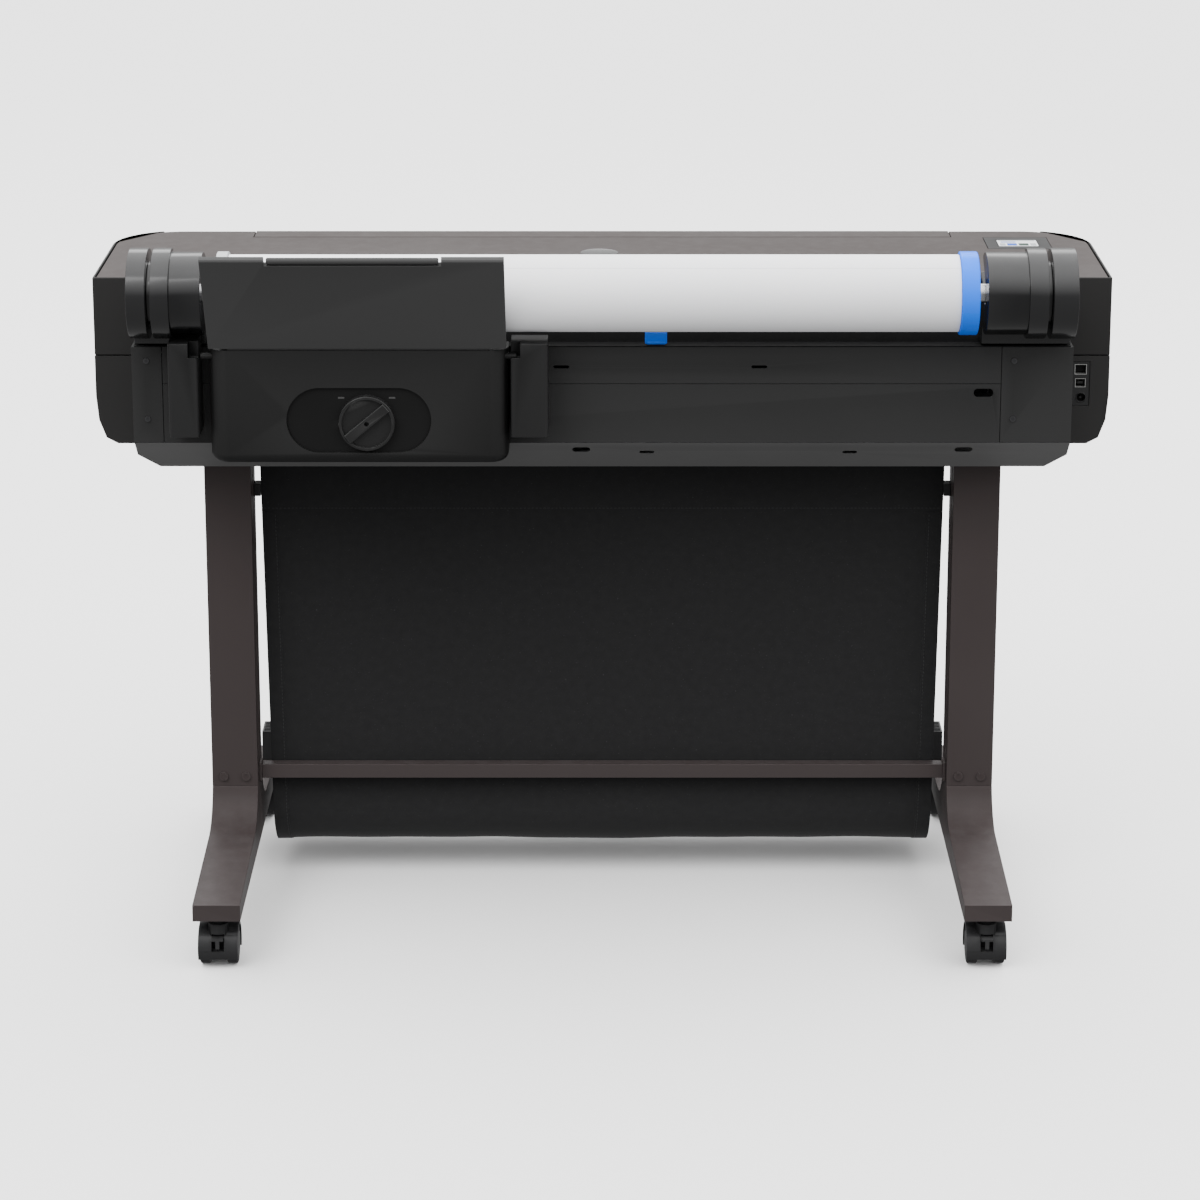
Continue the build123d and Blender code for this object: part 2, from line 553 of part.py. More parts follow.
# ---------------------------------------------------------------- roll and spindle
def spindle_parts():
    """Spindle bar with journals, drive gear, two stops, core and paper."""
    bar = rod_x(SPINDLE_R, -550, 545, ROLL_Y, ROLL_Z)
    bar = bar + rod_x(JOURNAL_R, -534, -502, ROLL_Y, ROLL_Z) + rod_x(JOURNAL_R, 482, 526, ROLL_Y, ROLL_Z)
    wheel = Pos(530.5, ROLL_Y, ROLL_Z) * Rot(0, 90, 0) * gear(GEAR_TEETH, GEAR_MODULE, 14)
    wheel = wheel - rod_x(SPINDLE_R, 520, 560, ROLL_Y, ROLL_Z)
    left = rod_x(STOP_R, ROLL_LEFT - 14, ROLL_LEFT - 0.2, ROLL_Y, ROLL_Z)
    left = left + rod_x(CORE_R - 0.2, ROLL_LEFT - 1, ROLL_LEFT + 26, ROLL_Y, ROLL_Z)
    left = left - rod_x(SPINDLE_R, -520, -400, ROLL_Y, ROLL_Z)
    right = fillet(rod_x(STOP_R, ROLL_RIGHT + 0.2, ROLL_RIGHT + 23, ROLL_Y, ROLL_Z).edges(), 2)
    right = right + rod_x(CORE_R - 0.4, ROLL_RIGHT - 26, ROLL_RIGHT + 2, ROLL_Y, ROLL_Z)
    right = right - rod_x(SPINDLE_R + RUN, 380, 520, ROLL_Y, ROLL_Z)
    core = rod_x(CORE_R + 2.5, ROLL_LEFT, ROLL_RIGHT, ROLL_Y, ROLL_Z) - rod_x(CORE_R, -500, 500, ROLL_Y, ROLL_Z)
    paper = rod_x(ROLL_R, ROLL_LEFT, ROLL_RIGHT, ROLL_Y, ROLL_Z)
    paper = paper - rod_x(CORE_R + 2.5, -500, 500, ROLL_Y, ROLL_Z)
    return bar, wheel, left, right, core, paper


def drive_pinion():
    """Pinion that turns the spindle gear, on its own short shaft."""
    y, z = pinion_place()
    mesh_turn = PINION_ANGLE + 270 + 180 / PINION_TEETH
    wheel = Pos(530.5, y, z) * Rot(0, 90, 0) * Rot(0, 0, mesh_turn) * gear(PINION_TEETH, GEAR_MODULE, 14)
    return wheel + rod_x(3, 494, 531, y, z)


# ---------------------------------------------------------------- sheet feeder
def slope(s, t):
    """Point on the tray's side view: s up the slope, t in from its outer face."""
    length = math.hypot(TRAY_RUN, TRAY_RISE)
    u = (-TRAY_RUN / length, TRAY_RISE / length)
    n = (TRAY_RISE / length, TRAY_RUN / length)
    return FEED_FACE + s * u[0] + t * n[0], FEED_TOP + s * u[1] + t * n[1]


def feeder_housing():
    """Hollow housing with rounded ends, a shallow recess for the knob and a slot along its top."""
    solid = block(FEED_LEFT, FEED_RIGHT, FEED_FACE, FEED_BACK, FEED_LOW, FEED_TOP)
    solid = fillet(solid.edges().filter_by(Axis.Z).group_by(Axis.Y)[0], 24)
    low = [edge for edge in solid.edges().group_by(Axis.Z)[0] if edge.center().Y < FEED_BACK - 2]
    solid = fillet(low, 12)
    hollow = block(FEED_LEFT + 4, FEED_RIGHT - 4, FEED_FACE + 12, FEED_BACK - 3, FEED_LOW + 5, FEED_TOP - 4)
    slot = block(FEED_LEFT + 10, FEED_RIGHT - 10, FEED_FACE + 16, FEED_BACK - 8, FEED_TOP - 8, FEED_TOP + 1)
    recess = slab_xz(182, 84, 41.9, -306, 707, FEED_FACE - 1, FEED_FACE + 4)
    housing = solid - hollow - slot - recess
    housing = housing + rod_y(14, KNOB_X, FEED_FACE + 6, FEED_FACE + 30, KNOB_Z)
    housing = housing - rod_y(8 + RUN, KNOB_X, FEED_FACE, FEED_FACE + 31, KNOB_Z)
    for x0, x1 in ((FEED_LEFT - 10, FEED_LEFT + 6), (FEED_RIGHT - 6, FEED_RIGHT + 10)):
        housing = housing + rod_x(PIN_R, x0, x1, PIN_Y, PIN_Z)
    return housing


def feeder_tray():
    """Leaning tray that a sheet rests on, with a pocket for its extension."""
    end = TRAY_LENGTH
    corners = [slope(3, 0), slope(end - 2, 0), slope(end, 2), slope(end, TRAY_THICK), slope(3, TRAY_THICK)]
    tray = prism_x(corners, FEED_LEFT + 1, FEED_RIGHT - 2)
    pocket = [slope(28, 2.5), slope(end + 5, 2.5), slope(end + 5, 5.8), slope(28, 5.8)]
    grip = [slope(end - 9, -1), slope(end + 5, -1), slope(end + 5, 9), slope(end - 9, 9)]
    heel = FEED_TOP + 0.2
    foot_edge = [slope(12, 0.6), slope(12, TRAY_THICK - 0.6), (FEED_FACE + 9, heel), (FEED_FACE + 1, heel)]
    tray = tray + prism_x(foot_edge, FEED_LEFT + 24, FEED_RIGHT - 24)
    return tray - prism_x(pocket, -410, -201) - prism_x(grip, -414, -197)


def tray_extension():
    """Pull-out plate with a rounded grip along its top edge."""
    plate = [slope(32, 2.9), slope(TRAY_LENGTH - 4, 2.9), slope(TRAY_LENGTH - 4, 5.4), slope(32, 5.4)]
    y, z = slope(TRAY_LENGTH - 4, 4.2)
    grip = rod_x(4.2, -411, -200, y, z)
    grip = fillet(grip.edges(), 2.0)
    return prism_x(plate, -406, -205) + grip


def feeder_knob():
    """Locking knob: dished disc with a bar across it and a shaft behind."""
    face = FEED_FACE - 6
    disc = rod_y(KNOB_R, KNOB_X, face, FEED_FACE + 3.6, KNOB_Z)
    disc = fillet(disc.edges().group_by(Axis.Y)[0], 2)
    disc = disc - rod_y(KNOB_R - 4, KNOB_X, face - 1, face + 5, KNOB_Z)
    bar = Pos(KNOB_X, face + 2.2, KNOB_Z) * Rot(0, -40, 0) * Box(2 * KNOB_R - 6, 7, 13)
    bar = fillet(bar.edges().group_by(Axis.Y)[0], 1.5)
    knob = disc + bar - rod_y(3, KNOB_X, face - 3, face + 6, KNOB_Z)
    return knob + rod_y(8, KNOB_X, FEED_FACE + 3, FEED_FACE + 34, KNOB_Z)


# ---------------------------------------------------------------- print mechanism
def carriage_frame():
    """Two side frames joined by the beam that guides the carriage."""
    parts = [block(-FRAME_X, FRAME_X, *RAIL_Y, *RAIL_Z) - block(-FRAME_X - 1, FRAME_X + 1, 3, 25, 803, 822)]
    for side in (-1, 1):
        x0, x1 = sorted((side * FRAME_X, side * (FRAME_X + 4)))
        plate = block(x0, x1, -56, 112, BASE_Z + 4, 838)
        plate = plate - rod_x(5 + RUN, x0 - 1, x1 + 1, ROLLER_Y, FEED_ROLLER_Z)
        plate = plate - rod_x(2.5 + RUN, x0 - 1, x1 + 1, ROLLER_Y, PINCH_Z)
        parts.append(plate)
    frame = parts[0] + parts[1] + parts[2]
    for side in (-1, 1):
        x = side * PULLEY_X
        frame = frame + rod_z(3, x, PULLEY_Y, RAIL_Z[1] - 1, BELT_Z[1] + 1)
    return frame


def platen():
    """Flat bed under the print head, with ribs, a leg at each end and a ramp down to the print slot."""
    bed = block(-480, 480, 20, 110, 742, 748)
    for x in range(-460, 461, 40):
        bed = bed - block(x - 12, x + 12, 30, 100, 746, 750)
    for side in (-1, 1):
        x0, x1 = sorted((side * 476, side * 480))
        bed = bed + block(x0, x1, 20, 110, BASE_Z + 4, 744)
    ramp = [(108, 742), (234, 688), (234, 691), (108, 745)]
    return bed + prism_x(ramp, -474, 474)


def carriage():
    """Print carriage that hangs on the beam and clips to the belt."""
    x0, x1 = CARRIAGE_X - 40, CARRIAGE_X + 40
    body = block(x0, x1, 31, 95, 758, 828)
    body = fillet(body.edges().filter_by(Axis.Z), 6)
    arm = block(x0 + 8, x1 - 8, -2, 40, RAIL_Z[1] + 1, RAIL_Z[1] + 7)
    clip = block(CARRIAGE_X - 6, CARRIAGE_X + 6, 22.8, 27, RAIL_Z[1] + 6, BELT_Z[1] + 1)
    nozzles = block(x0 + 14, x1 - 14, 40, 84, 751, 759)
    return body + arm + clip + nozzles


def carriage_belt():
    """Closed toothed belt round the two pulleys."""
    length = 2 * PULLEY_X
    outer = extrude(SlotCenterToCenter(length, 2 * (PULLEY_R + 1.3)), amount=BELT_Z[1] - BELT_Z[0])
    inner = extrude(SlotCenterToCenter(length, 2 * (PULLEY_R + 0.1)), amount=BELT_Z[1] - BELT_Z[0])
    return Pos(0, PULLEY_Y, BELT_Z[0]) * (outer - inner)


def pulley(x):
    """Flanged pulley on its pin."""
    wheel = rod_z(PULLEY_R, x, PULLEY_Y, BELT_Z[0] - 1, BELT_Z[1] + 0.6)
    return wheel - rod_z(3 + RUN, x, PULLEY_Y, BELT_Z[0] - 5, BELT_Z[1] + 5)


def feed_roller():
    """Rubbered roller that moves the sheet, on a steel shaft."""
    shaft = rod_x(5, -FRAME_X - 8, FRAME_X + 8, ROLLER_Y, FEED_ROLLER_Z)
    return shaft + rod_x(FEED_ROLLER_R, -472, 472, ROLLER_Y, FEED_ROLLER_Z)


def pinch_rollers():
    """Row of small rollers on one shaft above the feed roller."""
    shaft = rod_x(2.5, -FRAME_X - 8, FRAME_X + 8, ROLLER_Y, PINCH_Z)
    for x in range(-420, 421, 140):
        shaft = shaft + rod_x(PINCH_R, x - 25, x + 25, ROLLER_Y, PINCH_Z)
    return shaft


def ink_cartridges():
    """Four ink cartridges side by side in their bay."""
    parts = []
    for number in range(4):
        x0 = 483 + number * 19.5
        parts.append(block(x0, x0 + 17, 130, 226, 655, 728))
    return parts


# ---------------------------------------------------------------- write every piece
os.makedirs("parts", exist_ok=True)

for side, name in ((-1, "left"), (1, "right")):
    save(name + "_foot", foot(side))
    save(name + "_upright", upright(side))
    save(name + "_rear_cover", rear_cover(side))
save("crossbar", *crossbar())
save("bin_brackets", *bin_brackets())
save("bin_rear_rod", *bin_rear_rod())
save("bin_front_frame", bin_front_frame())
save("bin_cloth_back", bin_cloth_back())
save("bin_cloth_front", bin_cloth_front())

for side, left_right in ((-1, "left"), (1, "right")):
    for end, rear_front in ((-1, "rear"), (1, "front")):
        braked = end < 0
        hood, wheels, pedal = caster(side * LEG_X, end, braked)
        label = left_right + "_" + rear_front + "_caster"
        save(label + "_hood", hood)
        save(label + "_wheels", *wheels)
        if braked:
            save(label + "_brake", pedal)

save("right_end_upper", end_upper())
save("left_end_upper", mirror_x(end_upper()))
save("right_end_lower", end_lower(True))
save("left_end_lower", mirror_x(end_lower(False)))
save("base_tray", base_tray())
save("rear_panel", rear_panel())
save("rear_strip", rear_strip())
save("top_cover", top_cover())
save("front_fascia", *front_fascia())
save("front_window", front_window())
save("cartridge_door", cartridge_door())
save("power_button", power_button())
save("control_panel", *control_panel())
save("roll_bay", roll_bay())
save("drum_housings", drum_housing(-1), drum_housing(1))
save("feeder_posts", *feeder_posts())
save("port_block", port_block())
save("fasteners", *fasteners())
save("blue_latch", blue_latch())

bar, wheel, left, right, core, paper = spindle_parts()
save("spindle_bar", bar)
save("spindle_gear", wheel)
save("left_stop", left)
save("right_stop", right)
save("paper_roll", paper, core)
save("drive_pinion", drive_pinion())

save("feeder_housing", feeder_housing())
save("feeder_tray", feeder_tray())
save("tray_extension", tray_extension())
save("feeder_knob", feeder_knob())

save("carriage_frame", carriage_frame())
save("platen", platen())
save("carriage", carriage())
save("carriage_belt", carriage_belt())
save("drive_pulley", pulley(PULLEY_X))
save("idler_pulley", pulley(-PULLEY_X))
save("feed_roller", feed_roller())
save("pinch_rollers", pinch_rollers())
save("ink_cartridges", *ink_cartridges())
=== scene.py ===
import json
import math
import random

import bmesh
import bpy
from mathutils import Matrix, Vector

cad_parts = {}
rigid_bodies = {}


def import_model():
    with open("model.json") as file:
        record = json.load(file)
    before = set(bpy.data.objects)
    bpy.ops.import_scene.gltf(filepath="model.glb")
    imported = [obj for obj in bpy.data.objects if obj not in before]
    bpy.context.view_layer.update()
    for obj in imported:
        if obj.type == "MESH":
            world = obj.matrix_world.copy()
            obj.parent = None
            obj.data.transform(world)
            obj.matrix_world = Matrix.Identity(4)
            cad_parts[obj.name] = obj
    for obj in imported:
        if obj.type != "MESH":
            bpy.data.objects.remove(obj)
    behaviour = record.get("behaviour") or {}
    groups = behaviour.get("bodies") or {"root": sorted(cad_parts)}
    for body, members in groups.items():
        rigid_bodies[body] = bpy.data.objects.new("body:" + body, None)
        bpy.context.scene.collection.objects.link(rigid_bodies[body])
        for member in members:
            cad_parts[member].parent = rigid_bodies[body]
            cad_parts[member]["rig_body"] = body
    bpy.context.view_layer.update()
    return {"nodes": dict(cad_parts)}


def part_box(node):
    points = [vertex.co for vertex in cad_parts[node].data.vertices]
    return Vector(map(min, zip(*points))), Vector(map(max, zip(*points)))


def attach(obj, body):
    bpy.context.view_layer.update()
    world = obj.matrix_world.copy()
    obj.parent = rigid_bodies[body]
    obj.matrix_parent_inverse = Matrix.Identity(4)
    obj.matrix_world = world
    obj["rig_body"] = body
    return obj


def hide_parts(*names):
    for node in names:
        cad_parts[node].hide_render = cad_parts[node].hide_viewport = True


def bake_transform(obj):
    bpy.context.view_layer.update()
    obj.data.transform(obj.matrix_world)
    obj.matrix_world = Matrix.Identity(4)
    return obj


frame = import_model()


# ------------------------------------------------------------------ room
# A plain pale floor, lit by three large soft lamps. The camera stands
# well back on the loading side, above head height for a seated person, and looks down on the machine.
def new_material(name):
    """A material with its Principled shader, ready for nodes."""
    made = bpy.data.materials.new(name)
    made.use_nodes = True
    tree = made.node_tree
    shader = next(n for n in tree.nodes if n.type == "BSDF_PRINCIPLED")
    return made, tree, shader


def area_lamp(name, place, target, size, power):
    """A large square lamp that points at a target."""
    data = bpy.data.lights.new(name, "AREA")
    data.shape = "RECTANGLE"
    data.size, data.size_y = size
    data.energy = power
    lamp = bpy.data.objects.new(name, data)
    lamp.location = place
    lamp.rotation_euler = (Vector(target) - Vector(place)).to_track_quat("-Z", "Y").to_euler()
    bpy.context.scene.collection.objects.link(lamp)


bpy.ops.object.select_all(action="DESELECT")
bpy.ops.mesh.primitive_plane_add(size=60, location=(0, 0, 0))
floor = bpy.context.object
floor.name = "floor"
floor_paint, floor_tree, floor_shader = new_material("pale_floor")
floor_cloud = floor_tree.nodes.new("ShaderNodeTexNoise")
floor_cloud.inputs["Scale"].default_value = 0.6
floor_ramp = floor_tree.nodes.new("ShaderNodeValToRGB")
floor_ramp.color_ramp.elements[0].color = (0.86, 0.86, 0.86, 1)
floor_ramp.color_ramp.elements[1].color = (0.90, 0.90, 0.90, 1)
floor_tree.links.new(floor_cloud.outputs["Fac"], floor_ramp.inputs["Fac"])
floor_tree.links.new(floor_ramp.outputs["Color"], floor_shader.inputs["Base Color"])
floor_shader.inputs["Roughness"].default_value = 0.85
floor_shader.inputs["Specular IOR Level"].default_value = 0.1
floor.data.materials.append(floor_paint)
floor.visible_glossy = False
floor.visible_diffuse = False

world = bpy.data.worlds.new("studio")
bpy.context.scene.world = world
world.use_nodes = True
sky = world.node_tree
sky_place = sky.nodes.new("ShaderNodeTexCoord").outputs["Generated"]
sky_axes = sky.nodes.new("ShaderNodeSeparateXYZ")
sky.links.new(sky_place, sky_axes.inputs["Vector"])
sky_height = sky.nodes.new("ShaderNodeMapRange")
sky_height.inputs["From Min"].default_value = 0.10
sky_height.inputs["From Max"].default_value = 0.95
sky_height.inputs["To Min"].default_value = 0.58
sky_height.inputs["To Max"].default_value = 4.8
sky.links.new(sky_axes.outputs["Z"], sky_height.inputs["Value"])
sky.links.new(sky_height.outputs["Result"], sky.nodes["Background"].inputs["Strength"])
sky.nodes["Background"].inputs["Color"].default_value = (1, 1, 1, 1)

area_lamp("key", (-2.6, -3.2, 4.2), (0, 0, 0.6), (3.0, 2.4), 110)
area_lamp("fill", (3.4, -2.6, 2.4), (0, 0, 0.6), (2.4, 2.4), 30)
area_lamp("back", (0.6, 3.6, 3.4), (0, 0, 0.7), (4.0, 1.6), 60)

camera_data = bpy.data.cameras.new("camera")
camera_data.sensor_width = 36
camera_data.lens = 110.7
camera_data.shift_x = -0.0019
camera_data.shift_y = -0.17
camera_data.clip_start = 0.05
camera = bpy.data.objects.new("camera", camera_data)
camera.location = (0, -4.701, 1.880)
camera.rotation_euler = (math.radians(90 - 14.27), 0, 0)
bpy.context.scene.collection.objects.link(camera)
bpy.context.scene.camera = camera


# ------------------------------------------------------------------ stand: uprights, feet and crossbar
# Two rectangular steel tubes on bent steel feet, joined by a folded bar. All are powder coated in a warm
# charcoal with a faint sparkle. The steel is folded, so every long edge has a small radius.
def node_group(name, inputs, outputs):
    """An empty shader group with named sockets."""
    group = bpy.data.node_groups.new(name, "ShaderNodeTree")
    for label, kind, value in inputs:
        socket = group.interface.new_socket(label, in_out="INPUT", socket_type=kind)
        if value is not None:
            socket.default_value = value
    for label, kind in outputs:
        group.interface.new_socket(label, in_out="OUTPUT", socket_type=kind)
    return group, group.nodes.new("NodeGroupInput"), group.nodes.new("NodeGroupOutput")


def noise(tree, vector, scale, detail, rough=0.5):
    """A noise texture on the given coordinates."""
    made = tree.nodes.new("ShaderNodeTexNoise")
    made.inputs["Scale"].default_value = scale
    made.inputs["Detail"].default_value = detail
    made.inputs["Roughness"].default_value = rough
    tree.links.new(vector, made.inputs["Vector"])
    return made.outputs["Fac"]


def arithmetic(tree, operation, *values):
    """A maths node on sockets and numbers."""
    made = tree.nodes.new("ShaderNodeMath")
    made.operation = operation
    for socket, value in zip(made.inputs, values):
        if isinstance(value, (int, float)):
            socket.default_value = value
        else:
            tree.links.new(value, socket)
    return made.outputs[0]


def spread(tree, value, low, high, out_low, out_high):
    """Maps a value from one range to another."""
    made = tree.nodes.new("ShaderNodeMapRange")
    for socket, number in zip(("From Min", "From Max", "To Min", "To Max"), (low, high, out_low, out_high)):
        made.inputs[socket].default_value = number
    tree.links.new(value, made.inputs["Value"])
    return made.outputs["Result"]


def mixed(tree, factor, first, second):
    """A mix of two colours, each a plain colour or a socket."""
    made = tree.nodes.new("ShaderNodeMix")
    made.data_type = "RGBA"
    for label, value in (("A", first), ("B", second)):
        if isinstance(value, tuple):
            made.inputs[label].default_value = (*value, 1)
        else:
            tree.links.new(value, made.inputs[label])
    tree.links.new(factor, made.inputs["Factor"])
    return made.outputs["Result"]


def relieved(tree, shader, height, strength, distance):
    """Fine relief on a shader, from a height."""
    made = tree.nodes.new("ShaderNodeBump")
    made.inputs["Strength"].default_value = strength
    made.inputs["Distance"].default_value = distance
    tree.links.new(height, made.inputs["Height"])
    tree.links.new(made.outputs["Normal"], shader.inputs["Normal"])


def tinted(colour, gain, lift=0.0):
    """A colour scaled and lifted, kept within white."""
    return tuple(min(1, c * gain + lift) for c in colour)


# The surface of anything moulded or powder coated: fine grain, faint clouds, a little dust that settles on
# faces that look up, and lighter convex edges: partly rubbed wear, partly a painted highlight.
surface, surface_in, surface_out = node_group(
    "surface_detail",
    [("Grain Scale", "NodeSocketFloat", 1500.0), ("Cloud Scale", "NodeSocketFloat", 6.0)],
    [("Grain", "NodeSocketFloat"), ("Cloud", "NodeSocketFloat"), ("Dust", "NodeSocketFloat"),
     ("Edge Wear And Highlight", "NodeSocketFloat")])
surface_place = surface.nodes.new("ShaderNodeTexCoord").outputs["Object"]
grain_noise = surface.nodes.new("ShaderNodeTexNoise")
grain_noise.inputs["Detail"].default_value = 2.0
surface.links.new(surface_place, grain_noise.inputs["Vector"])
surface.links.new(surface_in.outputs["Grain Scale"], grain_noise.inputs["Scale"])
surface.links.new(grain_noise.outputs["Fac"], surface_out.inputs["Grain"])
cloud_noise = surface.nodes.new("ShaderNodeTexNoise")
cloud_noise.inputs["Detail"].default_value = 4.0
surface.links.new(surface_place, cloud_noise.inputs["Vector"])
surface.links.new(surface_in.outputs["Cloud Scale"], cloud_noise.inputs["Scale"])
surface.links.new(cloud_noise.outputs["Fac"], surface_out.inputs["Cloud"])
surface_facing = surface.nodes.new("ShaderNodeNewGeometry")
surface_normal = surface.nodes.new("ShaderNodeSeparateXYZ")
surface.links.new(surface_facing.outputs["Normal"], surface_normal.inputs["Vector"])
facing_up = spread(surface, surface_normal.outputs["Z"], 0.35, 1.0, 0.0, 1.0)
speckle = spread(surface, noise(surface, surface_place, 55.0, 6.0, 0.7), 0.42, 0.68, 0.0, 1.0)
surface.links.new(arithmetic(surface, "MULTIPLY", facing_up, speckle), surface_out.inputs["Dust"])
# Convex edges, from pointiness: partly rubbed wear, partly a painted edge highlight.
worn_and_lit_edge = spread(surface, surface_facing.outputs["Pointiness"], 0.505, 0.56, 0.0, 1.0)
surface.links.new(worn_and_lit_edge, surface_out.inputs["Edge Wear And Highlight"])


def coated(name, colour, rough, grain=1500.0, depth=0.12, dust=0.10, edge=0.35, metallic=0.0, coat=0.0,
           sparkle=0.0, shine=0.10):
    """Moulded plastic, powder coat or metal: colour with clouds, dust and lighter edges (rubbed wear and
    painted highlight).
    """
    made, tree, shader = new_material(name)
    detail = tree.nodes.new("ShaderNodeGroup")
    detail.node_tree = surface
    detail.inputs["Grain Scale"].default_value = grain
    result = mixed(tree, detail.outputs["Cloud"], tinted(colour, 0.86), tinted(colour, 1.14))
    # Mix convex edges towards a lighter colour: partly rubbed wear, partly a painted edge highlight.
    edge_wear_and_highlight = arithmetic(tree, "MULTIPLY", detail.outputs["Edge Wear And Highlight"], edge)
    result = mixed(tree, edge_wear_and_highlight, result, tinted(colour, 1.5, 0.03))
    settled_dust = arithmetic(tree, "MULTIPLY", detail.outputs["Dust"], dust)
    result = mixed(tree, settled_dust, result, tinted(colour, 0.7, 0.10))
    if sparkle:
        flakes = spread(tree, detail.outputs["Grain"], 0.62, 0.72, 0.0, sparkle)
        result = mixed(tree, flakes, result, tinted(colour, 2.2))
    tree.links.new(result, shader.inputs["Base Color"])
    matt = spread(tree, detail.outputs["Cloud"], 0.3, 0.7, rough - 0.05, rough + 0.06)
    tree.links.new(arithmetic(tree, "MAXIMUM", matt, 0.03), shader.inputs["Roughness"])
    relieved(tree, shader, detail.outputs["Grain"], depth, 0.0004)
    shader.inputs["Metallic"].default_value = metallic
    shader.inputs["Specular IOR Level"].default_value = shine
    shader.inputs["Coat Weight"].default_value = coat
    shader.inputs["Coat Roughness"].default_value = 0.12
    return made


def softened(node, radius, paint, segments=2, angle=32):
    """A copy of a node with its sharp edges rounded, as moulding or folding leaves them."""
    source = frame["nodes"][node]
    piece = bpy.data.objects.new(node + "_finished", source.data.copy())
    bpy.context.scene.collection.objects.link(piece)
    shape = bmesh.new()
    shape.from_mesh(piece.data)
    bmesh.ops.remove_doubles(shape, verts=shape.verts, dist=0.00002)
    bmesh.ops.dissolve_limit(shape, angle_limit=math.radians(1.2), verts=shape.verts, edges=shape.edges)
    shape.to_mesh(piece.data)
    shape.free()
    piece.data.materials.clear()
    piece.data.materials.append(paint)
    bpy.ops.object.select_all(action="DESELECT")
    bpy.context.view_layer.objects.active = piece
    piece.select_set(True)
    if radius:
        bevel = piece.modifiers.new("edges", "BEVEL")
        bevel.width = radius
        bevel.segments = segments
        bevel.limit_method = "ANGLE"
        bevel.angle_limit = math.radians(angle)
        bevel.harden_normals = False
        bpy.ops.object.modifier_apply(modifier="edges")
    bpy.ops.object.shade_smooth_by_angle(angle=math.radians(38))
    weighted = piece.modifiers.new("normals", "WEIGHTED_NORMAL")
    weighted.weight = 100
    weighted.keep_sharp = True
    bpy.ops.object.modifier_apply(modifier="normals")
    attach(piece, source["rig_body"])
    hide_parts(node)
    piece.select_set(False)
    return piece


stand_paint = coated("stand_powder_coat", (0.0290, 0.0225, 0.0222), 0.46, grain=2200, depth=0.10,
                     sparkle=0.25, edge=0.25)
for part in ("left_upright", "right_upright", "left_foot", "right_foot"):
    softened(part, 0.0022, stand_paint, segments=3)
softened("crossbar", 0.0009, stand_paint)


# ------------------------------------------------------------------ stand: bolts and cover screws
# Domed bolts in the same powder coat hold each foot to its upright. Small black cross-head screws hold the
# two rear covers. Each head is a low dome, and the screw heads have a plain round recess cut into them.
def domed_head(name, x, y, z, radius, height, paint, body, recess):
    """A screw head that faces -Y, with a plain round recess when recess is set."""
    bpy.ops.mesh.primitive_cylinder_add(vertices=24, radius=radius, depth=height,
                                        location=(x, y - height / 2, z),
                                        rotation=(math.radians(90), 0, 0))
    head = bpy.context.object
    head.name = name
    bpy.ops.object.transform_apply(location=True, rotation=True, scale=True)
    shape = bmesh.new()
    shape.from_mesh(head.data)
    face = min((f for f in shape.faces if f.normal.y < -0.9), key=lambda f: f.calc_center_median().y)
    bmesh.ops.inset_individual(shape, faces=[face], thickness=radius * 0.42)
    face = min((f for f in shape.faces if f.normal.y < -0.9), key=lambda f: f.calc_area())
    bmesh.ops.translate(shape, verts=face.verts, vec=(0, -height * 0.25, 0))
    if recess:
        bmesh.ops.inset_individual(shape, faces=[face], thickness=radius * 0.16)
        pushed = bmesh.ops.extrude_discrete_faces(shape, faces=[face])["faces"]
        bmesh.ops.translate(shape, verts=pushed[0].verts, vec=(0, height * 0.8, 0))
    shape.to_mesh(head.data)
    shape.free()
    head.data.materials.append(paint)
    bpy.ops.object.shade_smooth_by_angle(angle=math.radians(50))
    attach(head, body)
    head.select_set(False)
    return head


screw_paint = coated("black_zinc_screw", (0.035, 0.035, 0.037), 0.34, grain=3000, depth=0.05,
                     metallic=0.85, edge=0.6)
panel_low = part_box("rear_panel")[0]
upright_low, upright_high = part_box("left_upright")
screw_levels = (("low", 0.695), ("high", 0.771))
leg_x = (upright_high.x - upright_low.x) / 2 - upright_high.x
for side, x in (("left", -0.578), ("right", 0.522)):
    for level, z in screw_levels:
        domed_head(f"{side}_cover_screw_{level}", x, panel_low.y, z, 0.0036, 0.0014,
                                      screw_paint, "root", True)
for side, x in (("left", -leg_x), ("right", leg_x)):
    for place, offset in (("outer", -0.015), ("inner", 0.015)):
        domed_head(f"{side}_leg_bolt_{place}", x + offset, upright_low.y, 0.166, 0.006,
                                      0.0024,
                                      stand_paint, "root", False)
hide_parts("fasteners")


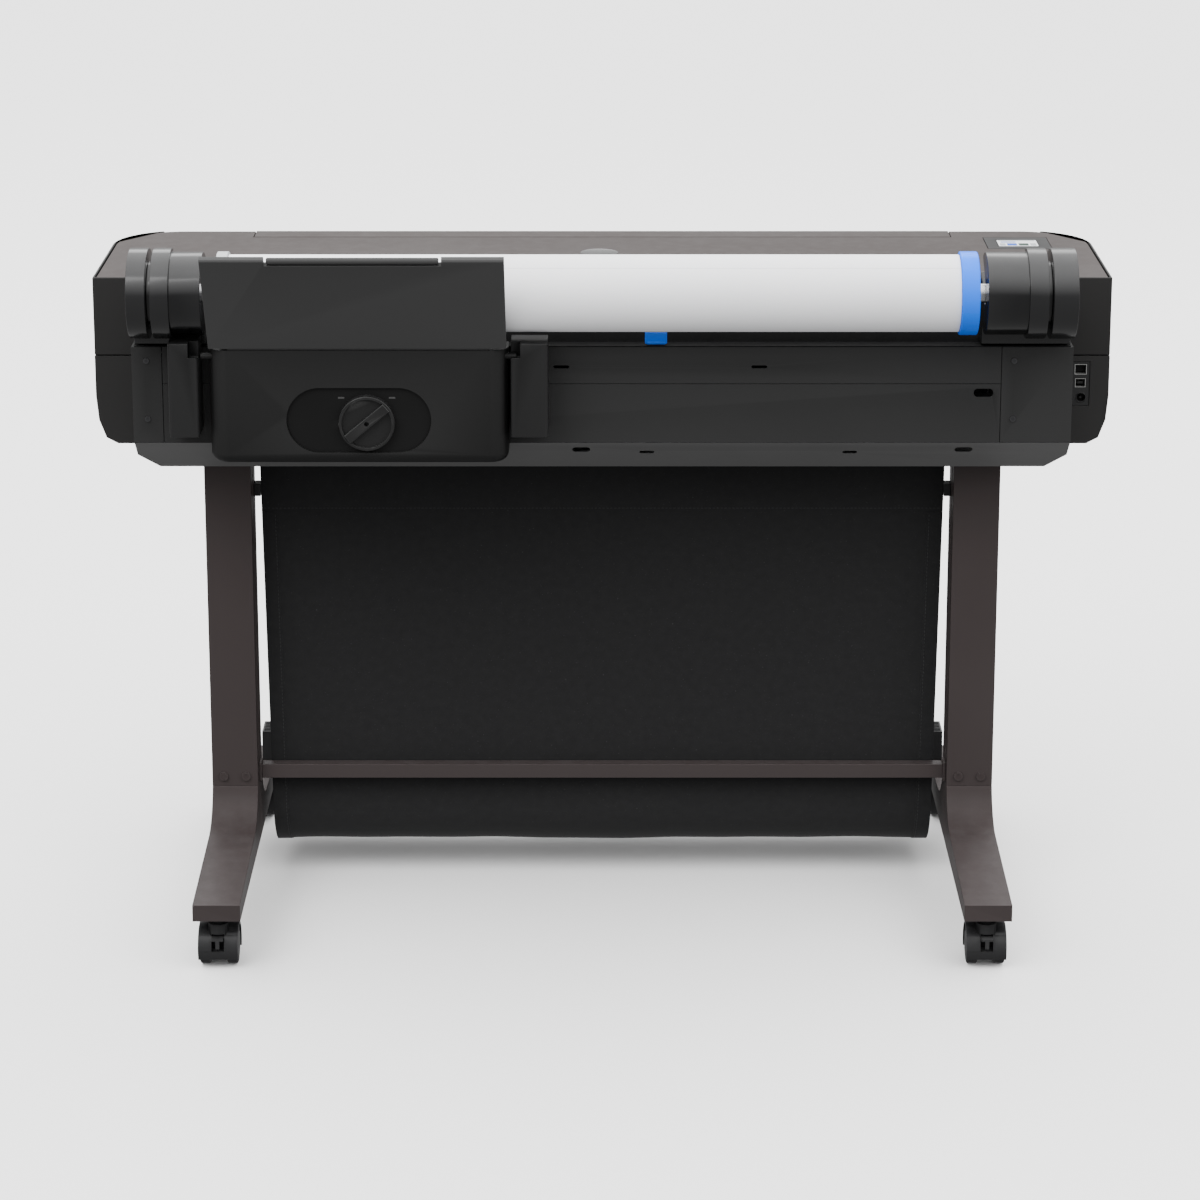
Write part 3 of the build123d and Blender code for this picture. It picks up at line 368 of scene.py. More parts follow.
# ------------------------------------------------------------------ casters
# Each caster is a black nylon hood with twin wheels on a steel axle. The treads are dark grey rubber with a
# thin moulding line, and the two on the loading side carry a brake pedal.
caster_paint = coated("black_nylon", (0.010, 0.010, 0.0105), 0.38, grain=1800, depth=0.10, dust=0.25,
                      edge=0.5)
tread_paint = coated("caster_tread", (0.016, 0.016, 0.017), 0.62, grain=900, depth=0.20, dust=0.45,
                     edge=0.2)
for side in ("left", "right"):
    for end in ("rear", "front"):
        caster = f"{side}_{end}_caster"
        softened(caster + "_hood", 0.0008, caster_paint)
        softened(caster + "_wheels", 0.0, tread_paint)
        low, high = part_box(caster + "_wheels")
        middle = (low + high) / 2
        for index, outer in ((0, low.x), (1, high.x)):
            turn = -1 if index == 0 else 1
            bpy.ops.mesh.primitive_cylinder_add(vertices=40, radius=0.0165, depth=0.001,
                                                rotation=(0, math.radians(90), 0),
                                                location=(outer + turn * 0.0002, middle.y, middle.z))
            hub = bpy.context.object
            hub.name = f"{caster}_hub_{index}"
            bpy.ops.object.transform_apply(location=True, rotation=True, scale=True)
            shape = bmesh.new()
            shape.from_mesh(hub.data)
            cap = max((f for f in shape.faces if len(f.verts) > 4),
                      key=lambda f: turn * f.calc_center_median().x)
            bmesh.ops.inset_individual(shape, faces=[cap], thickness=0.003)
            bmesh.ops.translate(shape, verts=cap.verts, vec=(-turn * 0.0006, 0, 0))
            bmesh.ops.inset_individual(shape, faces=[cap], thickness=0.008)
            bmesh.ops.translate(shape, verts=cap.verts, vec=(turn * 0.0011, 0, 0))
            shape.to_mesh(hub.data)
            shape.free()
            hub.data.materials.append(caster_paint)
            bpy.ops.object.shade_smooth_by_angle(angle=math.radians(35))
            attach(hub, caster + "_wheel")
            hub.select_set(False)
    softened(f"{side}_rear_caster_brake", 0.0005, caster_paint)


# ------------------------------------------------------------------ catch bin: rods, frame and brackets
# Painted steel rod across the legs, and a bent U of the same tube that pivots in black moulded brackets on
# the feet. The brackets have shallow ribs across their tops.
bin_paint = coated("bin_rod_paint", (0.010, 0.010, 0.0105), 0.40, grain=2200, depth=0.08, sparkle=0.15)
softened("bin_rear_rod", 0.0008, bin_paint)
softened("bin_front_frame", 0.0, bin_paint)
bracket_paint = coated("bracket_moulding", (0.010, 0.010, 0.0105), 0.42, depth=0.12, edge=0.5)
softened("bin_brackets", 0.0014, bracket_paint, segments=3)
bracket_low, bracket_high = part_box("bin_brackets")
for side in (-1, 1):
    middle_x = side * (bracket_high.x - 0.012)
    for rib in range(6):
        y = bracket_low.y + 0.006 + rib * 0.0064
        bpy.ops.mesh.primitive_cube_add(size=1, location=(middle_x, y, bracket_high.z + 0.0008))
        ridge = bpy.context.object
        ridge.name = f"bracket_rib_{'left' if side < 0 else 'right'}_{rib}"
        ridge.scale = (0.019, 0.0024, 0.0022)
        bpy.ops.object.transform_apply(location=True, rotation=True, scale=True)
        bevel = ridge.modifiers.new("round", "BEVEL")
        bevel.width = 0.0009
        bevel.segments = 3
        bpy.ops.object.modifier_apply(modifier="round")
        ridge.data.materials.append(bracket_paint)
        bpy.ops.object.shade_smooth_by_angle(angle=math.radians(40))
        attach(ridge, "root")
        ridge.select_set(False)


# ------------------------------------------------------------------ catch bin: the cloth
# One sheet of black plain-woven polyester. It is sewn round the rear rod, hangs behind the crossbar, folds
# forward near the floor and rises to the bar of the front frame, with a stitched hem along each edge.
weave, weave_in, weave_out = node_group(
    "plain_weave", [("Thread Pitch", "NodeSocketFloat", 0.0009)],
    [("Height", "NodeSocketFloat"), ("Slub", "NodeSocketFloat"), ("Lint", "NodeSocketFloat")])
weave_uv = weave.nodes.new("ShaderNodeUVMap")
weave_uv.uv_map = "cloth"
weave_axes = weave.nodes.new("ShaderNodeSeparateXYZ")
weave.links.new(weave_uv.outputs["UV"], weave_axes.inputs["Vector"])
warp_turns = arithmetic(weave, "DIVIDE", weave_axes.outputs["X"], weave_in.outputs["Thread Pitch"])
weft_turns = arithmetic(weave, "DIVIDE", weave_axes.outputs["Y"], weave_in.outputs["Thread Pitch"])
warp = arithmetic(weave, "SINE", arithmetic(weave, "MULTIPLY", warp_turns, math.pi))
weft = arithmetic(weave, "SINE", arithmetic(weave, "MULTIPLY", weft_turns, math.pi))
crossings = arithmetic(weave, "MULTIPLY", arithmetic(weave, "MULTIPLY", warp, weft), 0.5)
weave_height = arithmetic(weave, "ADD", crossings, 0.5)
weave.links.new(weave_height, weave_out.inputs["Height"])
slub = noise(weave, weave_uv.outputs["UV"], 90.0, 5.0, 0.65)
weave.links.new(slub, weave_out.inputs["Slub"])
lint = spread(weave, noise(weave, weave_uv.outputs["UV"], 420.0, 3.0, 0.6), 0.66, 0.74, 0.0, 1.0)
weave.links.new(lint, weave_out.inputs["Lint"])


def woven(name, colour, lighter, pitch):
    """Cloth material: thread relief, uneven yarn, a little lint and a soft sheen."""
    made, tree, shader = new_material(name)
    threads = tree.nodes.new("ShaderNodeGroup")
    threads.node_tree = weave
    threads.inputs["Thread Pitch"].default_value = pitch
    slubs = spread(tree, threads.outputs["Slub"], 0.3, 0.7, 0.4, 1.0)
    depth = arithmetic(tree, "MULTIPLY", threads.outputs["Height"], slubs)
    specks = arithmetic(tree, "MULTIPLY", threads.outputs["Lint"], 0.35)
    linty = mixed(tree, specks, mixed(tree, depth, colour, lighter), (0.10, 0.10, 0.10))
    tree.links.new(linty, shader.inputs["Base Color"])
    tree.links.new(spread(tree, threads.outputs["Slub"], 0.3, 0.7, 0.78, 0.92), shader.inputs["Roughness"])
    relieved(tree, shader, threads.outputs["Height"], 0.35, 0.0003)
    shader.inputs["Sheen Weight"].default_value = 0.08
    shader.inputs["Sheen Roughness"].default_value = 0.5
    shader.inputs["Specular IOR Level"].default_value = 0.1
    return made


cloth_paint = woven("bin_polyester", (0.0080, 0.0080, 0.0084), (0.0210, 0.0210, 0.0215), 0.0009)
back_low, back_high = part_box("bin_cloth_back")
front_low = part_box("bin_cloth_front")[0]
frame_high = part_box("bin_front_frame")[1]
cloth_y = back_low.y + 0.0012
fold_radius = 0.0612
fold_y = cloth_y + fold_radius
fold_z = back_low.z + 0.0012 + fold_radius
bar_y, bar_z, bar_r = frame_high.y - 0.006, frame_high.z - 0.006, 0.0072


def bin_profile():
    """Side view of the cloth, from its top edge down, forward and up round the front bar."""
    points = []
    top = back_high.z
    for step in range(45):
        points.append((cloth_y, top + (fold_z - top) * step / 44))
    for step in range(1, 17):
        turn = math.radians(90 * step / 16)
        points.append((fold_y - fold_radius * math.cos(turn), fold_z - fold_radius * math.sin(turn)))
    ground = points[-1]
    corner = (front_low.y - 0.003, front_low.z - 0.0055)
    for step in range(1, 13):
        share = step / 12
        points.append((ground[0] + (corner[0] - ground[0]) * share,
                       ground[1] + (corner[1] - ground[1]) * share - 0.0035 * math.sin(math.pi * share)))
    foot, head = (front_low.y + 0.003, front_low.z + 0.004), (bar_y - bar_r, bar_z - 0.004)
    for step in range(0, 31):
        share = step / 30
        points.append((foot[0] + (head[0] - foot[0]) * share, foot[1] + (head[1] - foot[1]) * share))
    for step in range(1, 9):
        turn = math.radians(180 - 180 * step / 8)
        points.append((bar_y + bar_r * math.cos(turn), bar_z + bar_r * math.sin(turn)))
    return points


profile = bin_profile()
arc = [0.0]
for (y0, z0), (y1, z1) in zip(profile, profile[1:]):
    arc.append(arc[-1] + math.dist((y0, z0), (y1, z1)))
cloth_length = arc[-1]
cloth_half_top, cloth_half_low, cloth_half_front = 0.4535, 0.4455, 0.438
columns = 120
back_length = back_high.z - fold_z


def half_width(along):
    """Half the cloth's width at a distance along it: it draws in a little towards the fold."""
    if along < back_length:
        return cloth_half_top + (cloth_half_low - cloth_half_top) * along / back_length
    share = min(1.0, (along - back_length) / 0.25)
    return cloth_half_low + (cloth_half_front - cloth_half_low) * share


random.seed(4)
phases = [random.uniform(0, 6.28) for _ in range(3)]


def cloth_point(along, across, lift):
    """A point on the cloth: along from the top edge, across from -1 to 1, lift towards its outer side."""
    index = max(0, min(len(arc) - 2, sum(1 for length in arc if length <= along) - 1))
    (y0, z0), (y1, z1) = profile[index], profile[index + 1]
    step = arc[index + 1] - arc[index]
    share = (along - arc[index]) / step
    out_y, out_z = (z1 - z0) / step, -(y1 - y0) / step
    below_rod = min(1.0, max(0.0, (along - 0.085) / 0.12))
    short_of_bar = min(1.0, max(0.0, (cloth_length - 0.03 - along) / 0.06))
    hang = below_rod * short_of_bar
    wave = (math.sin(across * 5.3 + phases[0]) + 0.6 * math.sin(across * 11.0 + 2.0 * along + phases[1])
            + 0.35 * math.sin(across * 23.0 - 5.0 * along + phases[2]))
    lift += 0.0008 * hang * wave
    place_y = y0 + (y1 - y0) * share + out_y * lift
    place_z = z0 + (z1 - z0) * share + out_z * lift
    return across * half_width(along), place_y, place_z


def cloth_strip(name, along_range, across_range, lift, thickness):
    """Part of the cloth as a mesh of its own, with its length and width in metres as its UV map."""
    shape = bmesh.new()
    layer = shape.loops.layers.uv.new("cloth")
    where = {}
    first, last = along_range
    low, high = across_range
    count = columns if high - low > 1 else 3
    lines = []
    for along in [first, *[length for length in arc if first < length < last], last]:
        line = []
        for column in range(count + 1):
            across = low + (high - low) * column / count
            vert = shape.verts.new(cloth_point(along, across, lift))
            where[vert] = (across * half_width(along), along)
            line.append(vert)
        lines.append(line)
    for upper, lower in zip(lines, lines[1:]):
        for corners in zip(upper, upper[1:], lower[1:], lower):
            for loop in shape.faces.new(corners).loops:
                loop[layer].uv = where[loop.vert]
    shape.normal_update()
    mesh = bpy.data.meshes.new(name)
    shape.to_mesh(mesh)
    shape.free()
    mesh.materials.append(cloth_paint)
    strip = bpy.data.objects.new(name, mesh)
    bpy.context.scene.collection.objects.link(strip)
    bpy.context.view_layer.objects.active = strip
    strip.select_set(True)
    solid = strip.modifiers.new("thickness", "SOLIDIFY")
    solid.thickness = thickness
    solid.offset = 0
    bpy.ops.object.modifier_apply(modifier="thickness")
    bpy.ops.object.shade_smooth_by_angle(angle=math.radians(60))
    strip.select_set(False)
    return strip


bpy.ops.object.select_all(action="DESELECT")
bin_cloth = cloth_strip("bin_cloth", (0.0, cloth_length), (-1.0, 1.0), 0.0, 0.0009)
hems = [cloth_strip("bin_cloth_top_hem", (0.0, 0.082), (-1.0, 1.0), 0.0009, 0.0008),
        cloth_strip("bin_cloth_left_hem", (0.083, cloth_length - 0.03), (-1.0, -0.955), 0.0009, 0.0008),
        cloth_strip("bin_cloth_right_hem", (0.083, cloth_length - 0.03), (0.955, 1.0), 0.0009, 0.0008),
        cloth_strip("bin_cloth_front_hem", (cloth_length - 0.075, cloth_length - 0.024), (-0.955, 0.955),
                    0.0009, 0.0008)]

thread_paint = coated("stitch_thread", (0.030, 0.030, 0.031), 0.60, grain=2600, depth=0.20, dust=0.05,
                      edge=0.2)
thread_shape = bmesh.new()


def stitch(start, end):
    """One stitch: a short fat thread that stands just proud of the hem."""
    ends = [Vector(cloth_point(*place, 0.00135)) for place in (start, end)]
    run = (ends[1] - ends[0]).normalized()
    side = run.cross(Vector((0, 1, 1))).normalized() if abs(run.x) > 0.5 else Vector((1, 0, 0))
    rise = run.cross(side)
    rings = []
    for place, width in ((ends[0], 0.0001), (ends[0].lerp(ends[1], 0.2), 0.0003),
                         (ends[0].lerp(ends[1], 0.8), 0.0003), (ends[1], 0.0001)):
        rings.append([thread_shape.verts.new(place + (side * math.cos(turn) + rise * math.sin(turn)) * width)
                      for turn in (0.0, math.pi / 2, math.pi, 3 * math.pi / 2)])
    for one, two in zip(rings, rings[1:]):
        for index in range(4):
            after = (index + 1) % 4
            thread_shape.faces.new((one[index], one[after], two[after], two[index]))
    thread_shape.faces.new(rings[0])
    thread_shape.faces.new(rings[-1])


stitch_pitch = 0.0052
stitch_length = 0.0037
half_cloth = 0.45
for along in (0.006, 0.078, cloth_length - 0.071):
    inset = 0.95 if along > 0.5 else 0.994
    for index in range(int(2 * inset * half_cloth / stitch_pitch)):
        across = -inset + index * stitch_pitch / half_cloth
        stitch((along, across), (along, across + stitch_length / half_cloth))
for across in (-0.9605, 0.9605):
    for index in range(int((cloth_length - 0.12) / stitch_pitch)):
        along = 0.087 + index * stitch_pitch
        stitch((along, across), (along + stitch_length, across))
bmesh.ops.recalc_face_normals(thread_shape, faces=thread_shape.faces)
thread_mesh = bpy.data.meshes.new("bin_cloth_stitching")
thread_shape.to_mesh(thread_mesh)
thread_shape.free()
thread_mesh.materials.append(thread_paint)
stitching = bpy.data.objects.new("bin_cloth_stitching", thread_mesh)
bpy.context.scene.collection.objects.link(stitching)
hems.append(stitching)
for cloth_piece in [bin_cloth, *hems]:
    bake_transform(cloth_piece)
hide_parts("bin_cloth_back", "bin_cloth_front")


# ------------------------------------------------------------------ body: base tray, rear panels and posts
# The chassis is a folded steel tray under the body. The loading side is closed by matt black moulded covers
# with a fine texture, and the wide middle one has a shallow seam along its upper part. A dark strip stands
# behind each shut line as painted shade, so the gap reads dark and no light shows through it.
skirt_paint = coated("base_tray_paint", (0.090, 0.090, 0.090), 0.50, grain=2000, depth=0.10, edge=0.2)
panel_paint = coated("rear_panel_moulding", (0.0120, 0.0120, 0.0120), 0.47, grain=1300, depth=0.16,
                     dust=0.08, edge=0.35)
softened("base_tray", 0.0012, skirt_paint)
softened("rear_panel", 0.0009, panel_paint)
softened("left_rear_cover", 0.0010, panel_paint)
softened("right_rear_cover", 0.0010, panel_paint)
softened("rear_strip", 0.0008, panel_paint)
# Dark strips behind the shut lines: painted shade that keeps light from showing through the gaps.
for side, x, wide in (("left", -0.552, 0.052), ("right", 0.517, 0.034)):
    bpy.ops.mesh.primitive_cube_add(size=1, location=(x, -0.1515, 0.718))
    shut_line_shade_strip = bpy.context.object
    shut_line_shade_strip.name = f"{side}_shut_line_painted_shade"
    shut_line_shade_strip.scale = (wide, 0.002, 0.120)
    bpy.ops.object.transform_apply(location=True, rotation=True, scale=True)
    shut_line_shade_strip.data.materials.append(panel_paint)
    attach(shut_line_shade_strip, "root")
    shut_line_shade_strip.select_set(False)
post_paint = coated("post_moulding", (0.0035, 0.0035, 0.0036), 0.36, grain=1500, depth=0.10, edge=0.55)
softened("feeder_posts", 0.0010, post_paint)


# ------------------------------------------------------------------ body: end covers and top cover
# The two ends and the long top cover are moulded in a warm brown-grey with a fine grain. The ends have
# rounded corners and a level seam halfway up, and the right one carries the control panel.
top_paint = coated("top_cover_moulding", (0.0360, 0.0300, 0.0288), 0.44, grain=1500, depth=0.14, dust=0.10,
                   edge=0.25, shine=0.04)
end_paint = coated("end_cover_moulding", (0.0125, 0.0120, 0.0118), 0.42, grain=1500, depth=0.14, dust=0.10,
                   edge=0.3)
softened("left_end_upper", 0.0022, end_paint, segments=3)
softened("right_end_upper", 0.0022, end_paint, segments=3)
softened("left_end_lower", 0.0012, end_paint)
softened("right_end_lower", 0.0012, end_paint)
softened("top_cover", 0.0016, top_paint, segments=3)

top_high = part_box("top_cover")[1]
badge_paint = coated("badge_blank", (0.0100, 0.0095, 0.0095), 0.26, grain=2400, depth=0.05, edge=0.6,
                     dust=0.05, shine=0.3)
bpy.ops.mesh.primitive_cylinder_add(vertices=64, radius=0.025, depth=0.0006,
                                    location=(-0.004, 0.094, top_high.z + 0.0001))
badge = bpy.context.object
badge.name = "blank_badge"
bpy.ops.object.transform_apply(location=True, rotation=True, scale=True)
badge_shape = bmesh.new()
badge_shape.from_mesh(badge.data)
badge_face = max(badge_shape.faces, key=lambda f: f.calc_center_median().z)
bmesh.ops.inset_individual(badge_shape, faces=[badge_face], thickness=0.0014)
bmesh.ops.translate(badge_shape, verts=badge_face.verts, vec=(0, 0, -0.0003))
badge_shape.to_mesh(badge.data)
badge_shape.free()
badge.data.materials.append(badge_paint)
bpy.ops.object.shade_smooth_by_angle(angle=math.radians(30))
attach(badge, "root")
badge.select_set(False)


# ------------------------------------------------------------------ control panel
# A black bezel with a rounded edge round a glass touch screen, set in the right end. The screen shows plain
# tiles on a light ground, behind smooth glass.
bezel_paint = coated("bezel_gloss", (0.0045, 0.0045, 0.0048), 0.30, grain=900, depth=0.03, edge=0.3,
                     dust=0.03, shine=0.06)
softened("control_panel", 0.0010, bezel_paint, segments=3)


def glow(name, colour, strength):
    """A lit display surface under glass: colour that gives off a little light, with a fine grid."""
    made, tree, shader = new_material(name)
    place = tree.nodes.new("ShaderNodeTexCoord").outputs["Object"]
    axes = tree.nodes.new("ShaderNodeSeparateXYZ")
    tree.links.new(place, axes.inputs["Vector"])
    across = arithmetic(tree, "SINE", arithmetic(tree, "MULTIPLY", axes.outputs["X"], 9000.0))
    along = arithmetic(tree, "SINE", arithmetic(tree, "MULTIPLY", axes.outputs["Y"], 9000.0))
    grid = spread(tree, arithmetic(tree, "MULTIPLY", across, along), -1.0, 1.0, 0.93, 1.0)
    smear = spread(tree, noise(tree, place, 60.0, 5.0, 0.6), 0.35, 0.7, 0.94, 1.0)
    level = arithmetic(tree, "MULTIPLY", grid, smear)
    tint = mixed(tree, spread(tree, level, 0.87, 1.0, 0.0, 1.0), tinted(colour, 0.85), colour)
    tree.links.new(tint, shader.inputs["Base Color"])
    tree.links.new(tint, shader.inputs["Emission Color"])
    shader.inputs["Emission Strength"].default_value = strength
    touched = spread(tree, noise(tree, place, 30.0, 4.0, 0.6), 0.3, 0.7, 0.10, 0.20)
    tree.links.new(touched, shader.inputs["Roughness"])
    shader.inputs["Specular IOR Level"].default_value = 0.08
    return made


screen_paint = glow("screen_ground", (0.66, 0.68, 0.70), 0.20)
blue_tile_paint = glow("tile_blue", (0.008, 0.070, 0.40), 0.12)
green_tile_paint = glow("tile_green", (0.004, 0.030, 0.018), 0.05)
grey_tile_paint = glow("tile_grey", (0.34, 0.36, 0.38), 0.10)
glass_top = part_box("control_panel")[1].z


def tile(name, x0, x1, y0, y1, lift, paint, radius=0.0012):
    """A flat rounded rectangle on the screen."""
    bpy.ops.mesh.primitive_cube_add(size=1, location=((x0 + x1) / 2, (y0 + y1) / 2, glass_top + lift))
    made = bpy.context.object
    made.name = name
    made.scale = (x1 - x0, y1 - y0, 0.0003)
    bpy.ops.object.transform_apply(location=True, rotation=True, scale=True)
    shape = bmesh.new()
    shape.from_mesh(made.data)
    uprights = [e for e in shape.edges if abs(e.verts[0].co.z - e.verts[1].co.z) > 0.0002]
    bmesh.ops.bevel(shape, geom=uprights, offset=radius, segments=4, affect="EDGES", profile=0.5)
    shape.to_mesh(made.data)
    shape.free()
    made.data.materials.append(paint)
    bpy.ops.object.shade_smooth_by_angle(angle=math.radians(30))
    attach(made, "root")
    made.select_set(False)
    return made


tile("screen_field", 0.5316, 0.5844, 0.1366, 0.1744, 0.0001, screen_paint, 0.0015)
tile("screen_tile_blue", 0.5432, 0.5562, 0.1395, 0.1535, 0.0003, blue_tile_paint)
tile("screen_tile_green", 0.5588, 0.5718, 0.1395, 0.1535, 0.0003, green_tile_paint)
tile("screen_tile_grey", 0.5745, 0.5822, 0.1395, 0.1535, 0.0003, grey_tile_paint)
tile("screen_bar_top", 0.5336, 0.5822, 0.1688, 0.1726, 0.0003, grey_tile_paint, 0.0006)
tile("screen_bar_low", 0.5360, 0.5560, 0.1600, 0.1640, 0.0003, blue_tile_paint, 0.0006)
tile("screen_side_tile", 0.5336, 0.5410, 0.1395, 0.1535, 0.0003, grey_tile_paint)


# ---------------------------------------------------------------- output side: fascia, window, door, button
# The output side has a black moulded fascia with the print slot, a smoked acrylic window that lifts on a
# hinge at its top edge, a cartridge door that drops forward and a chromed power button.
fascia_paint = coated("fascia_moulding", (0.009, 0.009, 0.0093), 0.40, grain=1400, depth=0.12, edge=0.4)
softened("front_fascia", 0.0012, fascia_paint)
softened("cartridge_door", 0.0010, end_paint)
button_paint = coated("button_ring", (0.30, 0.30, 0.31), 0.28, grain=2600, depth=0.05, metallic=0.7,
                      edge=0.3)
softened("power_button", 0.0006, button_paint, segments=3)
window_paint, window_tree, window_shader = new_material("smoked_acrylic")
window_place = window_tree.nodes.new("ShaderNodeTexCoord").outputs["Object"]
window_cloud = noise(window_tree, window_place, 4.0, 3.0)
window_tint = mixed(window_tree, window_cloud, (0.050, 0.047, 0.045), (0.075, 0.070, 0.067))
window_tree.links.new(window_tint, window_shader.inputs["Base Color"])
window_smear = spread(window_tree, noise(window_tree, window_place, 24.0, 6.0, 0.65), 0.35, 0.7, 0.02, 0.05)
window_tree.links.new(window_smear, window_shader.inputs["Roughness"])
relieved(window_tree, window_shader, noise(window_tree, window_place, 12.0, 2.0), 0.03, 0.001)
window_shader.inputs["Transmission Weight"].default_value = 0.85
window_shader.inputs["IOR"].default_value = 1.49
window = softened("front_window", 0.0012, window_paint, segments=3)
window.data.materials.append(top_paint)
window_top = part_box("front_window")[1].z
for face in window.data.polygons:
    if window_top - 0.0035 < face.center.z and face.center.y < 0.2365:
        face.material_index = 1


# ------------------------------------------------------------------ roll bay, drums and latch
# The roll lies in a matt black moulded trough between two glossy black drums that carry its spindle. A small
# blue lever under the roll frees a cut edge.
bay_paint = coated("bay_moulding", (0.0020, 0.0020, 0.0021), 0.45, grain=1300, depth=0.14, dust=0.03,
                   edge=0.3, shine=0.05)
softened("roll_bay", 0.0010, bay_paint)
drum_paint = coated("drum_gloss", (0.0020, 0.0020, 0.0024), 0.17, grain=800, depth=0.03, dust=0.05,
                    edge=0.35, shine=0.42)
softened("drum_housings", 0.0009, drum_paint, segments=3)
latch_paint = coated("latch_blue", (0.002, 0.140, 0.85), 0.34, grain=1600, depth=0.06, edge=0.4)
softened("blue_latch", 0.0006, latch_paint)


# ------------------------------------------------------------------ paper roll and its spindle
# White paper wound on a grey cardboard core. The edge of each turn shows on the ends, and the outer turn
# hangs slightly proud. The roll sits between a grey stop and a blue sliding stop on a smooth steel bar.
def paper(name):
    """Matt paper: near white, with faint fibres and slow bands round the roll where the web is tighter."""
    made, tree, shader = new_material(name)
    place = tree.nodes.new("ShaderNodeTexCoord").outputs["Object"]
    stretched = tree.nodes.new("ShaderNodeMapping")
    stretched.inputs["Scale"].default_value = (60.0, 900.0, 900.0)
    tree.links.new(place, stretched.inputs["Vector"])
    fibre = noise(tree, stretched.outputs["Vector"], 1.0, 4.0, 0.6)
    bands = noise(tree, place, 7.0, 2.0, 0.5)
    fibre_share = spread(tree, fibre, 0.3, 0.7, 0.5, 1.0)
    band_share = spread(tree, bands, 0.3, 0.7, 0.7, 1.0)
    share = arithmetic(tree, "MULTIPLY", fibre_share, band_share)
    shade = mixed(tree, share, (0.800, 0.805, 0.830), (0.870, 0.872, 0.885))
    tree.links.new(shade, shader.inputs["Base Color"])
    tree.links.new(spread(tree, fibre, 0.3, 0.7, 0.55, 0.68), shader.inputs["Roughness"])
    relieved(tree, shader, fibre, 0.08, 0.0002)
    return made


def wound_edge(name, centre, light, dark, pitch):
    """The end of a wound roll: fine rings about the roll's axis, a little uneven."""
    made, tree, shader = new_material(name)
    place = tree.nodes.new("ShaderNodeTexCoord").outputs["Object"]
    away = tree.nodes.new("ShaderNodeVectorMath")
    away.operation = "SUBTRACT"
    away.inputs[1].default_value = centre
    tree.links.new(place, away.inputs[0])
    axes = tree.nodes.new("ShaderNodeSeparateXYZ")
    tree.links.new(away.outputs["Vector"], axes.inputs["Vector"])
    squares = arithmetic(tree, "ADD", arithmetic(tree, "MULTIPLY", axes.outputs["Y"], axes.outputs["Y"]),
                         arithmetic(tree, "MULTIPLY", axes.outputs["Z"], axes.outputs["Z"]))
    radius = arithmetic(tree, "SQRT", squares)
    turns = arithmetic(tree, "MULTIPLY", radius, 2 * math.pi / pitch)
    drift = arithmetic(tree, "MULTIPLY", noise(tree, place, 30.0, 3.0), 5.0)
    rings = arithmetic(tree, "SINE", arithmetic(tree, "ADD", turns, drift))
    shade = mixed(tree, spread(tree, rings, -1.0, 1.0, 0.0, 1.0), dark, light)
    tree.links.new(shade, shader.inputs["Base Color"])
    tree.links.new(spread(tree, rings, -1.0, 1.0, 0.62, 0.75), shader.inputs["Roughness"])
    relieved(tree, shader, rings, 0.25, 0.0003)
    return made


roll_low, roll_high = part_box("paper_roll")
roll_middle = (roll_low + roll_high) / 2
roll_radius = (roll_high.z - roll_low.z) / 2
roll_length = roll_high.x - roll_low.x
core_radius = 0.0405
core_wall = 0.0022
end_round = 0.0005
roll_place = (0.0, roll_middle.y, roll_middle.z)
sheet_paper = paper("roll_paper")
edge_paper = wound_edge("roll_edge", roll_place, (0.82, 0.82, 0.83), (0.60, 0.60, 0.61), 0.00055)
core_board = wound_edge("core_board", roll_place, (0.36, 0.30, 0.23), (0.27, 0.22, 0.16), 0.0011)
bpy.ops.object.select_all(action="DESELECT")
bpy.ops.mesh.primitive_cylinder_add(vertices=160, radius=roll_radius, depth=roll_length - 0.0006,
                                    location=roll_middle,
                                    rotation=(0, math.radians(90), 0))
roll = bpy.context.object
roll.name = "wound_paper"
bpy.ops.object.transform_apply(location=True, rotation=True, scale=True)
roll_shape = bmesh.new()
roll_shape.from_mesh(roll.data)
roll_ends = [f for f in roll_shape.faces if len(f.verts) > 8]
bmesh.ops.inset_individual(roll_shape, faces=roll_ends, thickness=end_round)
for face in roll_ends:
    bmesh.ops.translate(roll_shape, verts=face.verts, vec=(0.0003 if face.normal.x > 0 else -0.0003, 0, 0))
bmesh.ops.inset_individual(roll_shape, faces=roll_ends, thickness=roll_radius - core_radius - end_round)
for face in roll_ends:
    face.material_index = 2
    for edge in face.edges:
        for beside in edge.link_faces:
            if beside is not face:
                beside.material_index = 1
bmesh.ops.inset_individual(roll_shape, faces=roll_ends, thickness=core_wall)
for face in roll_ends:
    inward = -0.05 if face.normal.x > 0 else 0.05
    bmesh.ops.translate(roll_shape, verts=face.verts, vec=(inward, 0, 0))
roll_shape.to_mesh(roll.data)
roll_shape.free()
for part in (sheet_paper, edge_paper, core_board):
    roll.data.materials.append(part)
bpy.ops.object.shade_smooth_by_angle(angle=math.radians(40))
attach(roll, "spindle")
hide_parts("paper_roll")
roll.select_set(False)

